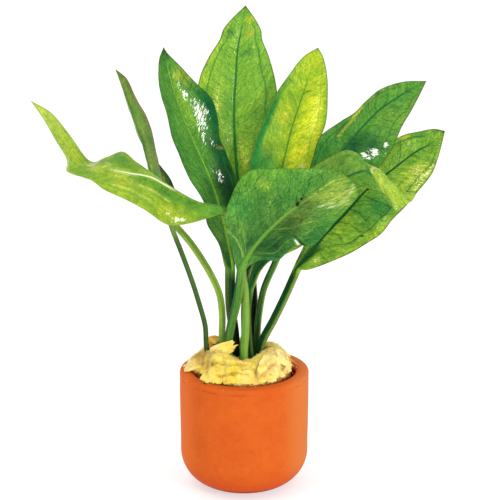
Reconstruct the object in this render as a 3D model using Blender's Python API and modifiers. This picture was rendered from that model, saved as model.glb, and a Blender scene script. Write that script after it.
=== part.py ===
"""A potted amazon sword plant: terracotta pot, rockwool, rootstock and ten leaves.

The tables and functions work in millimetres, and new_object turns them into metres. +Z is up, the
origin is the middle of the pot's underside, and the plant is looked at from -Y.
"""

import math

import bmesh
import bpy
from mathutils import Vector

MM = 0.001
GAP = 0.35  # clear space kept between pieces that touch

POT_HEIGHT = 46.4
RIM_RADIUS = 25.0
BELLY_RADIUS = 24.6  # where the wall meets the rounded foot
FOOT_RADIUS = 11.0  # of the flat underside
FOOT_CURVE = 13.5  # height of the rounded foot
WALL = 5.0
LIP_ROUND = 1.6
INNER_FLOOR_RADIUS = 9.5
INNER_CURVE = 9.0
POT_STEPS = 44

WOOL_SIDE_RADIUS = 18.6  # of the plug, at the top of the pot's inner curve
WOOL_MOUTH_RADIUS = 19.6  # of the plug, at the pot's mouth
WOOL_HEAP = 4.3  # how far the heap's middle stands above its edge
WOOL_STEPS = 36
# Where the edge of the heap leaves a plain circle: direction in degrees, spread, change of radius
WOOL_EDGE_RADIUS = 18.4
WOOL_EDGE_CHANGES = ((180.0, 16.0, 5.7), (232.0, 12.0, 1.6), (75.0, 40.0, 0.8))
# Lumps on the heap: x, y, spread, height
WOOL_LUMPS = (
    (-12.5, 7.5, 4.0, 5.0),
    (-10.5, -1.5, 3.4, 4.0),
    (-21.0, 2.0, 3.0, 1.8),
    (-12.0, -10.5, 4.0, 1.6),
    (0.0, -11.0, 4.0, 1.3),
    (8.0, -4.5, 5.0, 3.2),
    (15.0, -3.0, 4.0, 1.2),
    (12.0, 8.0, 4.5, 2.0),
    (1.0, 15.0, 5.0, 2.2),
)

# The hollow that the leaf stalks stand in: centre and half-widths, at its floor and at its mouth
WELL_FLOOR_Z, WELL_WAIST_Z, WELL_MOUTH_Z = 32.0, 41.0, 50.0
WELL_FLOOR = (-0.5, 1.0, 7.9, 7.9)
WELL_MOUTH = (-1.2, 2.6, 10.3, 9.2)

CROWN_RADIUS = 7.2
CROWN_SHOULDER_Z = 40.0
CROWN_BUD_RADIUS = 3.1
CROWN_BUD_HEIGHT = 6.0
CROWN_STEPS = 16

BLADE_HALF = 0.42  # half the thickness of a blade
RIB_HEIGHT = 0.9  # the midrib's ridge under the blade, at the blade's base
STALK_STEPS = 8
BLADE_STEPS = 18
STALK_BLEND = 0.16  # share of the blade over which the round stalk flattens
TIP_SHARE = 0.985  # the last section; past it the blade closes on its tip
# Places across a section: -1 and 1 are the margins and 0 is the midrib
ACROSS = (-1.0, -0.6, -0.15, 0.0, 0.15, 0.6, 1.0)

# Each leaf is four lines through points in millimetres. The stalk runs from its foot on the
# rootstock up to the blade, the midrib from there to the tip, and left and right are the two
# margins, as seen with the leaf's upper side up and its tip ahead.
LEAVES = {
    "leaf_back_tall": {
        "color": (0.25, 0.45, 0.06),
        "stalk_radius": 1.9,
        "stalk": [(1.2, 6.2, 40.3), (3.2, 9, 55), (3.4, 12.5, 70), (2, 17, 84.5)],
        "midrib": [
            (0.5, 21, 95.5), (-2, 24.5, 111.5), (-3.5, 29, 126), (-4, 33, 139.5),
            (-3.5, 36.5, 152.5), (-3, 39, 164), (-1.5, 41.5, 172.5), (0.5, 44, 180.5),
        ],
        "left": [
            (-5, 21.5, 106), (-11.5, 24.5, 120), (-16.5, 28.5, 134.5), (-18.5, 32.5, 145.5),
            (-17, 35, 154.5), (-13.5, 37, 162), (-9.5, 38.5, 168), (-8, 39.5, 172),
            (-5, 41.5, 175.5),
        ],
        "right": [
            (5, 21.5, 106), (9.5, 24.5, 120), (12.5, 28.5, 134.5), (13, 32.5, 145.5),
            (12, 35, 153), (9.5, 37, 162), (7, 39, 168), (6.5, 40.5, 171.5), (4, 41.5, 176),
        ],
    },
    "leaf_left_upright": {
        "color": (0.07, 0.30, 0.05),
        "stalk_radius": 2.0,
        "stalk": [(-5.2, 4.2, 40.3), (-3.8, 8.0, 55), (-5.3, 9.8, 69)],
        "midrib": [
            (-5.5, 10.5, 84), (-7, 10.5, 97), (-10, 11.5, 110.5), (-14.5, 13, 123.5),
            (-19.5, 15, 134.5), (-24, 17, 145), (-28, 18, 156), (-30.5, 19.5, 168.5),
        ],
        "left": [
            (-9.5, 5, 94), (-14, 1.5, 104.5), (-16, -0.5, 114.5), (-22.5, 0, 126),
            (-27.5, 2, 140), (-31, 6, 153.5), (-32.5, 10.5, 161), (-32, 15, 165),
        ],
        "right": [
            (-3, 12.5, 94.5), (-1.5, 15, 108), (-3, 17, 117), (-7, 19, 128), (-9.5, 20, 133),
            (-10, 21.5, 140.5), (-12.5, 22, 148), (-18, 22, 154), (-24.5, 21.5, 161),
            (-29, 20, 166),
        ],
    },
    "leaf_right_upright": {
        "color": (0.48, 0.60, 0.03),
        "stalk_radius": 1.3,
        "stalk": [(-2.2, 6.2, 40.3), (0, 4.9, 56), (0.3, 7.2, 71.5), (4.5, 10.5, 86)],
        "midrib": [
            (8.5, 13, 99), (12, 15.5, 111.5), (15.5, 19.5, 125.5), (18, 23, 135.5),
            (21, 26, 144.5), (24, 28.5, 153.5), (28.5, 32.5, 166),
        ],
        "left": [
            (4.5, 11.5, 106), (2, 13, 115), (2, 15, 122.5), (4, 17.5, 131), (7.5, 21, 139.5),
            (12, 24, 149), (18, 27.5, 157.5), (23, 30, 163),
        ],
        "right": [
            (15, 11.5, 105.5), (21.5, 13, 114.5), (26, 15, 123.5), (29, 17, 133),
            (31.5, 19.5, 139.5), (32, 23, 147.5), (32, 26.5, 156), (30.5, 30.5, 162.5),
        ],
    },
    "leaf_front": {
        "color": (0.16, 0.38, 0.06),
        "stalk_radius": 1.7,
        "stalk": [
            (-2.2, -4.2, 40.3), (-5.9, -0.8, 51), (-6, 0, 57.5), (-4.5, -2.5, 67),
            (-2.5, -5.5, 76.5),
        ],
        "midrib": [
            (-1, -9, 89), (1, -11.5, 95.5), (5, -15.5, 102.5), (9.5, -20, 109),
            (14.5, -24.5, 115), (20, -27.5, 119), (24.5, -28.5, 123), (29.5, -29, 126.5),
            (36, -28.5, 131),
        ],
        "left": [
            (2, -10, 91), (6.5, -13, 94), (12.5, -17, 95), (16.5, -20, 99.5),
            (19.5, -21.5, 102), (25, -23, 102.5), (29.5, -24, 107), (36.5, -25.5, 116),
            (41.5, -26.5, 122.5), (40, -28, 127.5),
        ],
        "right": [
            (-3, -7, 91.5), (-6, -7, 101), (-7, -9, 110.5), (-5, -11.5, 117.5),
            (-2, -14.5, 125), (3, -16, 129.5), (9.5, -18, 130.5), (17.5, -20, 131),
            (25.5, -22, 131.5), (31.5, -24.5, 131.5),
        ],
    },
    "leaf_left_drooping": {
        "color": (0.40, 0.60, 0.06),
        "stalk_radius": 1.6,
        "stalk": [
            (1.2, -4.2, 40.3), (0, -4, 53), (0.5, -4.5, 63.5), (0.5, -3.5, 73.5), (0, -2.5, 81),
            (-2.5, -3.5, 93), (-4.5, -5, 103.5),
        ],
        "midrib": [
            (-7, -6.5, 111.5), (-12.5, -10.5, 114), (-19, -15.5, 118), (-26.5, -21, 124),
            (-34, -26, 130), (-42, -28.5, 132.5), (-49.5, -30, 134.5), (-56, -31, 134.5),
            (-61, -32.5, 140), (-66, -34, 147), (-71, -34.5, 154.5), (-75.5, -35, 159.5),
        ],
        "left": [
            (-8.5, -8, 110.5), (-12.5, -13, 110.5), (-19.5, -21, 110.5), (-26.5, -27.5, 111.5),
            (-31, -32.5, 115), (-36, -36.5, 120), (-41.5, -39, 124), (-49.5, -40.5, 128),
            (-54.5, -40.5, 132), (-63, -38.5, 134.5), (-63, -36.5, 138), (-66.5, -36, 144.5),
            (-71, -35, 152.5),
        ],
        "right": [
            (-11.5, -4, 112.5), (-18.5, -4, 113.5), (-26, -8, 119), (-32, -11.5, 124),
            (-35.5, -14.5, 128.5), (-40, -15.5, 132.5), (-44.5, -15.5, 136.5),
            (-49.5, -18, 135), (-54.5, -24.5, 134.5), (-58, -29, 139), (-63, -32, 147.5),
            (-68.5, -34, 155),
        ],
    },
    "leaf_right_upper": {
        "color": (0.12, 0.38, 0.07),
        "stalk_radius": 1.3,
        "stalk": [(3.8, 4.6, 40.3), (5, 5.5, 57), (5.5, 6, 64.5), (7.5, 7, 76), (12, 7.5, 87)],
        "midrib": [
            (17.5, 8, 100.5), (23, 7, 112), (29.5, 6.5, 122), (37.5, 6.5, 132),
            (45.5, 8, 140.5), (51.5, 10.5, 146.5), (59, 14.5, 151), (69.5, 19.5, 155.5),
        ],
        "left": [
            (20, 8.5, 109.5), (23.5, 9, 118.5), (26, 9, 128), (29, 10, 136), (36, 10.5, 141.5),
            (42, 11.5, 145), (46, 13, 149), (51.5, 15.5, 153), (60.5, 18, 155.5),
        ],
        "right": [
            (25, 6.5, 105), (35, 5, 110.5), (44.5, 4, 118), (51.5, 4, 126), (56, 5, 132.5),
            (59.5, 8, 140), (63, 11.5, 145), (66.5, 15.5, 150.5),
        ],
    },
    "leaf_right_arching": {
        "color": (0.22, 0.46, 0.07),
        "stalk_radius": 1.2,
        "stalk": [(4, -2.2, 40.3), (2, -0.8, 58), (1.5, 1.5, 69.5)],
        "midrib": [
            (2.5, 2, 78), (5.5, 0, 87), (11.5, -4, 97), (18, -6.5, 107), (26.5, -10, 117.5),
            (35, -12.5, 124.5), (41, -13.5, 127.5), (46, -15, 128.5), (51.5, -17, 125),
            (57.5, -18, 122), (63, -19.5, 120.5),
        ],
        "left": [
            (2, 1.5, 83.5), (4.5, 1.5, 90.5), (10, 0, 104), (17.5, -1.5, 117), (26, -3, 127),
            (32, -4.5, 131.5), (37.5, -6.5, 134.5), (42, -9, 134), (44.5, -11.5, 131.5),
            (50.5, -15, 129), (55, -17, 124.5), (59, -19, 121.5),
        ],
        "right": [
            (5.5, -1.5, 85), (10, -4, 91), (16, -6.5, 94.5), (22, -9, 98.5), (30, -11.5, 107),
            (37.5, -14.5, 116.5), (43, -15.5, 122), (49.5, -17, 122), (53, -18, 119.5),
            (56, -19.5, 114.5), (59, -20, 117), (61.5, -20, 118.5),
        ],
    },
    "leaf_right_lower": {
        "color": (0.25, 0.45, 0.04),
        "stalk_radius": 1.6,
        "stalk": [(5.1, 1.3, 40.3), (6.5, 1, 55.5), (11.5, 1.5, 66), (15.5, 3.5, 74)],
        "midrib": [
            (20.5, 6, 85), (24.5, 7, 91), (31.5, 9, 98.5), (39, 11.5, 105.5), (47, 14.5, 113.5),
            (55, 17.5, 119.5), (65, 22, 126), (72.5, 26, 129.5), (78, 28.5, 134),
        ],
        "left": [
            (22, 10, 90.5), (25, 13, 96), (31.5, 17, 105.5), (39, 19.5, 116), (48.5, 21, 125.5),
            (55.5, 22, 130.5), (61.5, 23.5, 133.5), (68, 25.5, 134.5), (73.5, 27.5, 135),
        ],
        "right": [
            (24.5, 4, 85), (31.5, 4, 87.5), (40, 5, 91), (46.5, 6.5, 94.5), (52.5, 8.5, 98),
            (57, 11, 103), (62, 13.5, 107.5), (67, 17, 112.5), (72.5, 21, 118.5),
            (76, 25.5, 126.5),
        ],
    },
    "leaf_left_narrow": {
        "color": (0.12, 0.22, 0.06),
        "stalk_radius": 1.05,
        "stalk": [
            (-5, -2.2, 40.3), (-9, -1.5, 44), (-13, -0.5, 48), (-14.5, 1, 55), (-15, 2.5, 63),
            (-17.5, 3.5, 72.5), (-20, 4.5, 80.5), (-23.5, 5, 90.5),
        ],
        "midrib": [
            (-27, 5, 100), (-30, 6, 109.5), (-33, 6.5, 118.5), (-36, 6.5, 126.5),
            (-38.5, 7, 135.5), (-42, 8, 145.5), (-45, 8.5, 154), (-48, 9, 162),
        ],
        "left": [
            (-27, 2, 107.5), (-28.5, 0, 115.5), (-31.5, -0.5, 125), (-32.5, 0, 131),
            (-34.5, 1.5, 140), (-37.5, 2.5, 147.5), (-41, 4.5, 153.5), (-44, 7, 159),
        ],
        "right": [
            (-28.5, 10, 106), (-30.5, 12.5, 113.5), (-36.5, 13.5, 121.5), (-38, 14.5, 129.5),
            (-41, 14.5, 137), (-43.5, 13.5, 144.5), (-45.5, 12.5, 152.5), (-47, 10.5, 158),
        ],
    },
    "leaf_left_small": {
        "color": (0.30, 0.45, 0.05),
        "stalk_radius": 1.3,
        "stalk": [
            (-6, 1, 40.3), (-8.5, 3.5, 56.5), (-8.5, 4.5, 66.5), (-9.5, 5.5, 74.5),
            (-12.5, 7, 81.5), (-16.5, 9, 88), (-21, 11.5, 94),
        ],
        "midrib": [(-26, 13, 99.5), (-28.5, 15.5, 107.5), (-31.5, 19, 115), (-34.5, 22, 124)],
        "left": [(-30, 15, 105), (-33.5, 17.5, 113), (-35.5, 20, 119.5)],
        "right": [(-25.5, 13.5, 106), (-26, 15, 112), (-28.5, 17.5, 117.5), (-32, 21, 121.5)],
    },
}
# The narrow leaf's stalk starts under the rockwool's surface, in a tunnel along its first sections
TUNNEL_LEAF = "leaf_left_narrow"
TUNNEL_SECTIONS = 4
TUNNEL_RADIUS = 1.7
TUNNEL_SIDES = 10


def clear_scene():
    for obj in list(bpy.data.objects):
        bpy.data.objects.remove(obj)


def new_collection(name):
    collection = bpy.data.collections.new(name)
    bpy.context.scene.collection.children.link(collection)
    return collection


def new_material(name, color, roughness):
    material = bpy.data.materials.new(name)
    material.use_nodes = True
    shader = material.node_tree.nodes["Principled BSDF"]
    shader.inputs["Base Color"].default_value = (*color, 1.0)
    shader.inputs["Roughness"].default_value = roughness
    shader.inputs["Metallic"].default_value = 0.0
    return material


def new_object(name, mesh, collection, material):
    obj = bpy.data.objects.new(name, mesh)
    obj.data.materials.append(material)
    collection.objects.link(obj)
    return obj


def finished(bm, name):
    """The mesh of a bmesh in millimetres, in metres, smooth but for its real corners."""
    bmesh.ops.scale(bm, vec=(MM, MM, MM), verts=bm.verts)
    mesh = bpy.data.meshes.new(name)
    bm.to_mesh(mesh)
    bm.free()
    mesh.shade_smooth()
    mesh.set_sharp_from_angle(angle=math.radians(50))
    return mesh


def lofted(name, rings, start=None, end=None):
    """A closed mesh through rings of equally many points. An end is a point, or a flat cap."""
    bm = bmesh.new()
    loops = [[bm.verts.new(point) for point in ring] for ring in rings]
    count = len(loops[0])
    for lower, upper in zip(loops, loops[1:]):
        for i in range(count):
            j = (i + 1) % count
            bm.faces.new((lower[i], lower[j], upper[j], upper[i]))
    for loop, point in ((loops[0][::-1], start), (loops[-1], end)):
        if point is None:
            bm.faces.new(loop)
            continue
        apex = bm.verts.new(point)
        for i in range(count):
            bm.faces.new((loop[i], loop[(i + 1) % count], apex))
    return finished(bm, name)


def turned(name, profile, steps, collection, material):
    """A solid turned about +Z from (radius, height) points that run down its outer side."""
    bm = bmesh.new()
    points = [bm.verts.new((radius * MM, 0, z * MM)) for radius, z in profile]
    for first, second in zip(points, points[1:]):
        bm.edges.new((first, second))
    mesh = bpy.data.meshes.new(name)
    bm.to_mesh(mesh)
    bm.free()
    obj = new_object(name, mesh, collection, material)
    screw = obj.modifiers.new("turn", "SCREW")
    screw.steps = steps
    screw.render_steps = steps
    screw.use_merge_vertices = True
    screw.merge_threshold = 0.00001
    screw.use_smooth_shade = True
    return obj


def arc(center, radii, start, end, steps):
    """Points on a quarter or other part of an ellipse, angles in degrees."""
    points = []
    for k in range(steps + 1):
        angle = math.radians(start + (end - start) * k / steps)
        points.append((center[0] + radii[0] * math.cos(angle), center[1] + radii[1] * math.sin(angle)))
    return points


def pot_profile():
    inner = RIM_RADIUS - WALL
    lip_z = POT_HEIGHT - LIP_ROUND
    round_radii = (LIP_ROUND, LIP_ROUND)
    curve_z = WALL + INNER_CURVE
    floor_radii = (inner - 1.0 - INNER_FLOOR_RADIUS, INNER_CURVE)
    foot_radii = (BELLY_RADIUS - FOOT_RADIUS, FOOT_CURVE)
    return (
        [(0, WALL)]
        + arc((INNER_FLOOR_RADIUS, curve_z), floor_radii, -90, 0, 3)
        + arc((inner + LIP_ROUND, lip_z), round_radii, 180, 90, 3)
        + arc((RIM_RADIUS - LIP_ROUND, lip_z), round_radii, 90, 0, 3)
        + arc((FOOT_RADIUS, FOOT_CURVE), foot_radii, 0, -90, 5)
        + [(0, 0)]
    )


def crown_profile():
    bud = arc((0, CROWN_SHOULDER_Z + 1), (CROWN_BUD_RADIUS, CROWN_BUD_HEIGHT - 1), 90, 0, 4)
    return bud + [
        (CROWN_BUD_RADIUS + 0.3, CROWN_SHOULDER_Z),
        (CROWN_RADIUS - 0.4, CROWN_SHOULDER_Z),
        (CROWN_RADIUS, CROWN_SHOULDER_Z - 1),
        (CROWN_RADIUS, WELL_FLOOR_Z + 3),
        (CROWN_RADIUS - 1, WELL_FLOOR_Z + GAP),
        (0, WELL_FLOOR_Z + GAP),
    ]


def wool_edge(angle):
    """Radius of the heap's edge in a direction given in degrees."""
    radius = WOOL_EDGE_RADIUS
    for direction, spread, change in WOOL_EDGE_CHANGES:
        away = (angle - direction + 180) % 360 - 180
        radius += change * math.exp(-((away / spread) ** 2))
    return radius


def wool_height(x, y, share):
    """Height of the heap over a point, where share runs from 0 at its edge to 1 at the well."""
    height = POT_HEIGHT + 1.0 + WOOL_HEAP * (1 - (1 - share) ** 3)
    rise = min(1.0, 0.25 + share * 3)
    for lump_x, lump_y, spread, lump in WOOL_LUMPS:
        distance = (x - lump_x) ** 2 + (y - lump_y) ** 2
        height += rise * lump * math.exp(-distance / (2 * spread * spread))
    return height


def well_point(angle, z):
    """A point on the well's wall in a direction in radians."""
    share = min(1.0, max(0.0, (z - WELL_WAIST_Z) / (WELL_MOUTH_Z - WELL_WAIST_Z)))
    x, y, half_x, half_y = (a + (b - a) * share for a, b in zip(WELL_FLOOR, WELL_MOUTH))
    return x + half_x * math.cos(angle), y + half_y * math.sin(angle)


def wool_column(degrees):
    """Points down one side of the plug, from its underside over the heap and into the well."""
    angle = math.radians(degrees)
    edge = wool_edge(degrees)
    curve_z = WALL + INNER_CURVE
    radii = (WOOL_SIDE_RADIUS - INNER_FLOOR_RADIUS, curve_z - WALL - GAP)
    side = arc((INNER_FLOOR_RADIUS, curve_z), radii, -90, 0, 3)
    lip_z = POT_HEIGHT - LIP_ROUND
    side.append((min(WOOL_MOUTH_RADIUS, edge), lip_z))
    clear_lip = LIP_ROUND + GAP + 0.15
    lip = arc((RIM_RADIUS - WALL + LIP_ROUND, lip_z), (clear_lip, clear_lip), 135, 90, 1)
    side += [(min(radius, edge - 0.2), z) for radius, z in lip]
    side.append((edge, POT_HEIGHT + GAP + 0.5))
    column = [(radius * math.cos(angle), radius * math.sin(angle), z) for radius, z in side]
    outer_x, outer_y = edge * math.cos(angle), edge * math.sin(angle)
    well_x, well_y = well_point(angle, WELL_MOUTH_Z)
    for share in (0.05, 0.16, 0.34, 0.54, 0.74, 0.92):
        x = outer_x + (well_x - outer_x) * share
        y = outer_y + (well_y - outer_y) * share
        column.append((x, y, wool_height(x, y, share)))
    mouth_z = wool_height(well_x, well_y, 1.0) - 1.2
    column.append((well_x, well_y, mouth_z))
    for z in (46.0, WELL_WAIST_Z, WELL_FLOOR_Z):
        column.append((*well_point(angle, z), z))
    return column


def rockwool(collection, material, tunnel):
    columns = [wool_column(360.0 * i / WOOL_STEPS) for i in range(WOOL_STEPS)]
    rings = list(zip(*columns))
    floor = (WELL_FLOOR[0], WELL_FLOOR[1], WELL_FLOOR_Z)
    mesh = lofted("rockwool", rings, start=(0, 0, WALL + GAP), end=floor)
    obj = new_object("rockwool", mesh, collection, material)
    cut = obj.modifiers.new("tunnel", "BOOLEAN")
    cut.operation = "DIFFERENCE"
    cut.solver = "EXACT"
    cut.object = tunnel
    return obj


def tunnel_cutter(collection, material):
    """The way of the narrow leaf's stalk through the rockwool, as a closed tube."""
    shape = LEAVES[TUNNEL_LEAF]
    stalk = [Vector(point) for point in shape["stalk"] + shape["midrib"][:1]]
    centers = [smooth(stalk, k / STALK_STEPS) for k in range(TUNNEL_SECTIONS)]
    last = len(centers) - 1
    rings = []
    for i, center in enumerate(centers):
        along = centers[min(i + 1, last)] - centers[max(i - 1, 0)]
        side = along.cross(Vector((0, 1, 0))).normalized()
        front = along.cross(side).normalized()
        ring = []
        for k in range(TUNNEL_SIDES):
            turn = math.tau * k / TUNNEL_SIDES
            ring.append(center + TUNNEL_RADIUS * (side * math.cos(turn) + front * math.sin(turn)))
        rings.append(ring)
    cutter = new_object("tunnel_cutter", lofted("tunnel_cutter", rings), collection, material)
    cutter.hide_render = True
    cutter.display_type = "WIRE"
    return cutter


def smooth(points, share):
    """The point at a share of the way along a smooth curve through points."""
    reach = [0.0]
    for first, second in zip(points, points[1:]):
        reach.append(reach[-1] + (second - first).length)
    place = share * reach[-1]
    i = 0
    while i < len(points) - 2 and place > reach[i + 1]:
        i += 1

    def slope(k):
        low, high = max(k - 1, 0), min(k + 1, len(points) - 1)
        return (points[high] - points[low]) / (reach[high] - reach[low])

    span = reach[i + 1] - reach[i]
    t = (place - reach[i]) / span
    start, end = points[i], points[i + 1]
    return (
        start * (2 * t**3 - 3 * t**2 + 1)
        + slope(i) * span * (t**3 - 2 * t**2 + t)
        + end * (3 * t**2 - 2 * t**3)
        + slope(i + 1) * span * (t**3 - t**2)
    )


def ease(share):
    share = min(1.0, max(0.0, share))
    return share * share * (3 - 2 * share)


def section(middle, left, right, along, stalk_radius, share):
    """One ring of a leaf. left and right are vectors to the margins, share is 0 on the stalk."""
    flat = ease(share / STALK_BLEND)
    left_up = along.cross(left).normalized()
    right_up = right.cross(along).normalized()
    middle_up = (left_up + right_up).normalized()
    upper, lower = [], []
    for s in ACROSS:
        half, up = (left, left_up) if s < 0 else (right, right_up)
        if s == 0:
            up = middle_up
        point = middle + half * abs(s) + up * (flat * 0.16 * half.length * abs(s) * (1 - abs(s)))
        round_out = math.sqrt(1 - s * s)
        thick = stalk_radius * (1 - flat) * round_out + BLADE_HALF * flat * round_out
        rib = RIB_HEIGHT * flat * (1 - 0.8 * share) if s == 0 else 0.0
        upper.append(point + up * thick)
        lower.append(point - up * (thick + rib))
    return upper + lower[-2:0:-1]


def leaf(name, shape, collection):
    """A leaf grown as one piece: a round stalk that flattens into a blade on a midrib."""
    radius = shape["stalk_radius"]
    stalk = [Vector(point) for point in shape["stalk"] + shape["midrib"][:1]]
    midrib = [Vector(point) for point in shape["midrib"]]
    left = [Vector(point) for point in shape["left"]]
    right = [Vector(point) for point in shape["right"]]
    start = (midrib[0] - stalk[-2]).normalized()
    side = right[0] - left[0]
    side = (side - start * side.dot(start)).normalized()
    left = [midrib[0] - side * radius, *left, midrib[-1]]
    right = [midrib[0] + side * radius, *right, midrib[-1]]
    rings = []
    for k in range(STALK_STEPS):
        share = k / STALK_STEPS
        middle = smooth(stalk, share)
        along = (smooth(stalk, share + 0.02) - smooth(stalk, max(share - 0.02, 0))).normalized()
        across = (side - along * side.dot(along)).normalized() * radius
        rings.append(section(middle, -across, across, along, radius, 0))
    rings[0] = [Vector((point.x, point.y, stalk[0].z)) for point in rings[0]]
    for k in range(BLADE_STEPS + 1):
        share = TIP_SHARE * k / BLADE_STEPS
        middle = smooth(midrib, share)
        along = (smooth(midrib, share + 0.015) - smooth(midrib, max(share - 0.015, 0))).normalized()
        rings.append(
            section(
                middle, smooth(left, share) - middle, smooth(right, share) - middle, along, radius, share
            )
        )
    mesh = lofted(name, rings, end=midrib[-1])
    return new_object(name, mesh, collection, new_material(name + "_green", shape["color"], 0.35))


def main():
    clear_scene()
    parts = new_collection("potted amazon sword plant")
    cutters = new_collection("cutters")
    terracotta = new_material("terracotta", (0.78, 0.12, 0.02), 0.7)
    wool = new_material("rockwool", (0.90, 0.66, 0.16), 0.95)
    rootstock = new_material("rootstock", (0.30, 0.30, 0.10), 0.8)
    turned("pot", pot_profile(), POT_STEPS, parts, terracotta)
    turned("crown", crown_profile(), CROWN_STEPS, parts, rootstock).location = (
        WELL_FLOOR[0] * MM,
        WELL_FLOOR[1] * MM,
        0,
    )
    rockwool(parts, wool, tunnel_cutter(cutters, wool))
    for name, shape in LEAVES.items():
        leaf(name, shape, parts)


main()
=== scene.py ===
import math

import bpy
import numpy as np
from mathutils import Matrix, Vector, noise


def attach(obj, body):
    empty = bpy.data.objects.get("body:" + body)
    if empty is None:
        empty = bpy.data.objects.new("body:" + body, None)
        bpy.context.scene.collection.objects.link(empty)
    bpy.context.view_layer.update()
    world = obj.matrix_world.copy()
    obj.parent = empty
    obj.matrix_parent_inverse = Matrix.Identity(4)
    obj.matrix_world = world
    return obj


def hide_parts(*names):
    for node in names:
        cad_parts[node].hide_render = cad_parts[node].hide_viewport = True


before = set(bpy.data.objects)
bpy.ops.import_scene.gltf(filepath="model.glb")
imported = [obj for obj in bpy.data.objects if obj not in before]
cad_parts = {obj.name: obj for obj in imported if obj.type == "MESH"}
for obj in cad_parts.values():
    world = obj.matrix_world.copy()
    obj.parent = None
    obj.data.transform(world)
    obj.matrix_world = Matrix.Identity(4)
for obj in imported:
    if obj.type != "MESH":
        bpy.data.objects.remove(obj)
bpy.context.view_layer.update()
mm = 0.001
seamGap = 0.000002  # metres, points of a piece that lie closer are one
smooth = {"interpolation_type": "SMOOTHSTEP"}
print("frame loaded,", len(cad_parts), "nodes")


def linear(hexColor):
    channels = [int(hexColor[i : i + 2], 16) / 255 for i in (1, 3, 5)]
    return [c / 12.92 if c <= 0.04045 else ((c + 0.055) / 1.055) ** 2.4 for c in channels] + [1.0]


def addNode(tree, kind, sockets=(), out=0, **settings):
    # sockets are in order, or by name or number; gives one output, or all of them where out is None
    node = tree.nodes.new("ShaderNode" + kind)
    for name, value in settings.items():
        setattr(node, name, value)
    named = sockets if isinstance(sockets, dict) else dict(enumerate(sockets))
    for socket, value in named.items():
        if isinstance(value, bpy.types.NodeSocket):
            tree.links.new(value, node.inputs[socket])
        else:
            node.inputs[socket].default_value = value
    return node.outputs if out is None else node.outputs[out]


def layTones(tree, color, layers):
    # lays tones over a colour: a hex tone covers what is below it, three numbers multiply it; how much
    # shows is the product of its masks, each a value, or a value, where it starts and where it is full
    for tone, *masks in layers:
        weight = 1.0
        for number, mask in enumerate(masks):
            if isinstance(mask, tuple):
                mask = addNode(tree, "MapRange", mask, **smooth)
            weight = addNode(tree, "Math", [weight, mask], operation="MULTIPLY") if number else mask
        blend = "MULTIPLY" if isinstance(tone, tuple) else "MIX"
        if isinstance(tone, str):
            tone = linear(tone)
        elif isinstance(tone, tuple):
            tone = (*tone, 1.0)
        sockets = {0: weight, 6: color, 7: tone}
        color = addNode(tree, "Mix", sockets, 2, data_type="RGBA", blend_type=blend)
    return color


def newMaterial(name, roughness):
    material = bpy.data.materials.new(name)
    material.use_nodes = True
    shader = material.node_tree.nodes["Principled BSDF"]
    shader.inputs["Roughness"].default_value = roughness
    return material, material.node_tree, shader


def deselectAll():
    if bpy.context.mode != "OBJECT":
        bpy.ops.object.mode_set(mode="OBJECT")
    bpy.ops.object.select_all(action="DESELECT")


def wrappedGrid(name, columns, rows):
    # a flat grid whose left and right sides meet once it is wrapped round a piece
    deselectAll()
    bpy.ops.mesh.primitive_grid_add(x_subdivisions=columns - 1, y_subdivisions=rows - 1, size=2)
    piece = bpy.context.object
    piece.name = name
    piece.data.name = name
    flat = np.empty(len(piece.data.vertices) * 3)
    piece.data.vertices.foreach_get("co", flat)
    flat = flat.reshape(-1, 3)
    column = np.rint((flat[:, 0] + 1) / 2 * (columns - 1)).astype(int)
    row = np.rint((flat[:, 1] + 1) / 2 * (rows - 1)).astype(int)
    return piece, column, row


def placePoints(piece, points):
    piece.data.vertices.foreach_set("co", np.asarray(points, float).ravel() * mm)
    piece.data.update()


def closeSeams(piece, gap=seamGap):
    bpy.context.view_layer.objects.active = piece
    bpy.ops.object.mode_set(mode="EDIT")
    bpy.ops.mesh.select_all(action="SELECT")
    bpy.ops.mesh.remove_doubles(threshold=gap)
    bpy.ops.mesh.normals_make_consistent(inside=False)
    bpy.ops.object.mode_set(mode="OBJECT")
    bpy.ops.object.shade_smooth()


def finishPiece(piece, material, slotName, *nodes):
    piece.data.materials.clear()
    piece.data.materials.append(material)
    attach(piece, "root")
    if nodes:
        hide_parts(*nodes)
    print(piece.name, "made,", len(piece.data.polygons), "faces")


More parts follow.
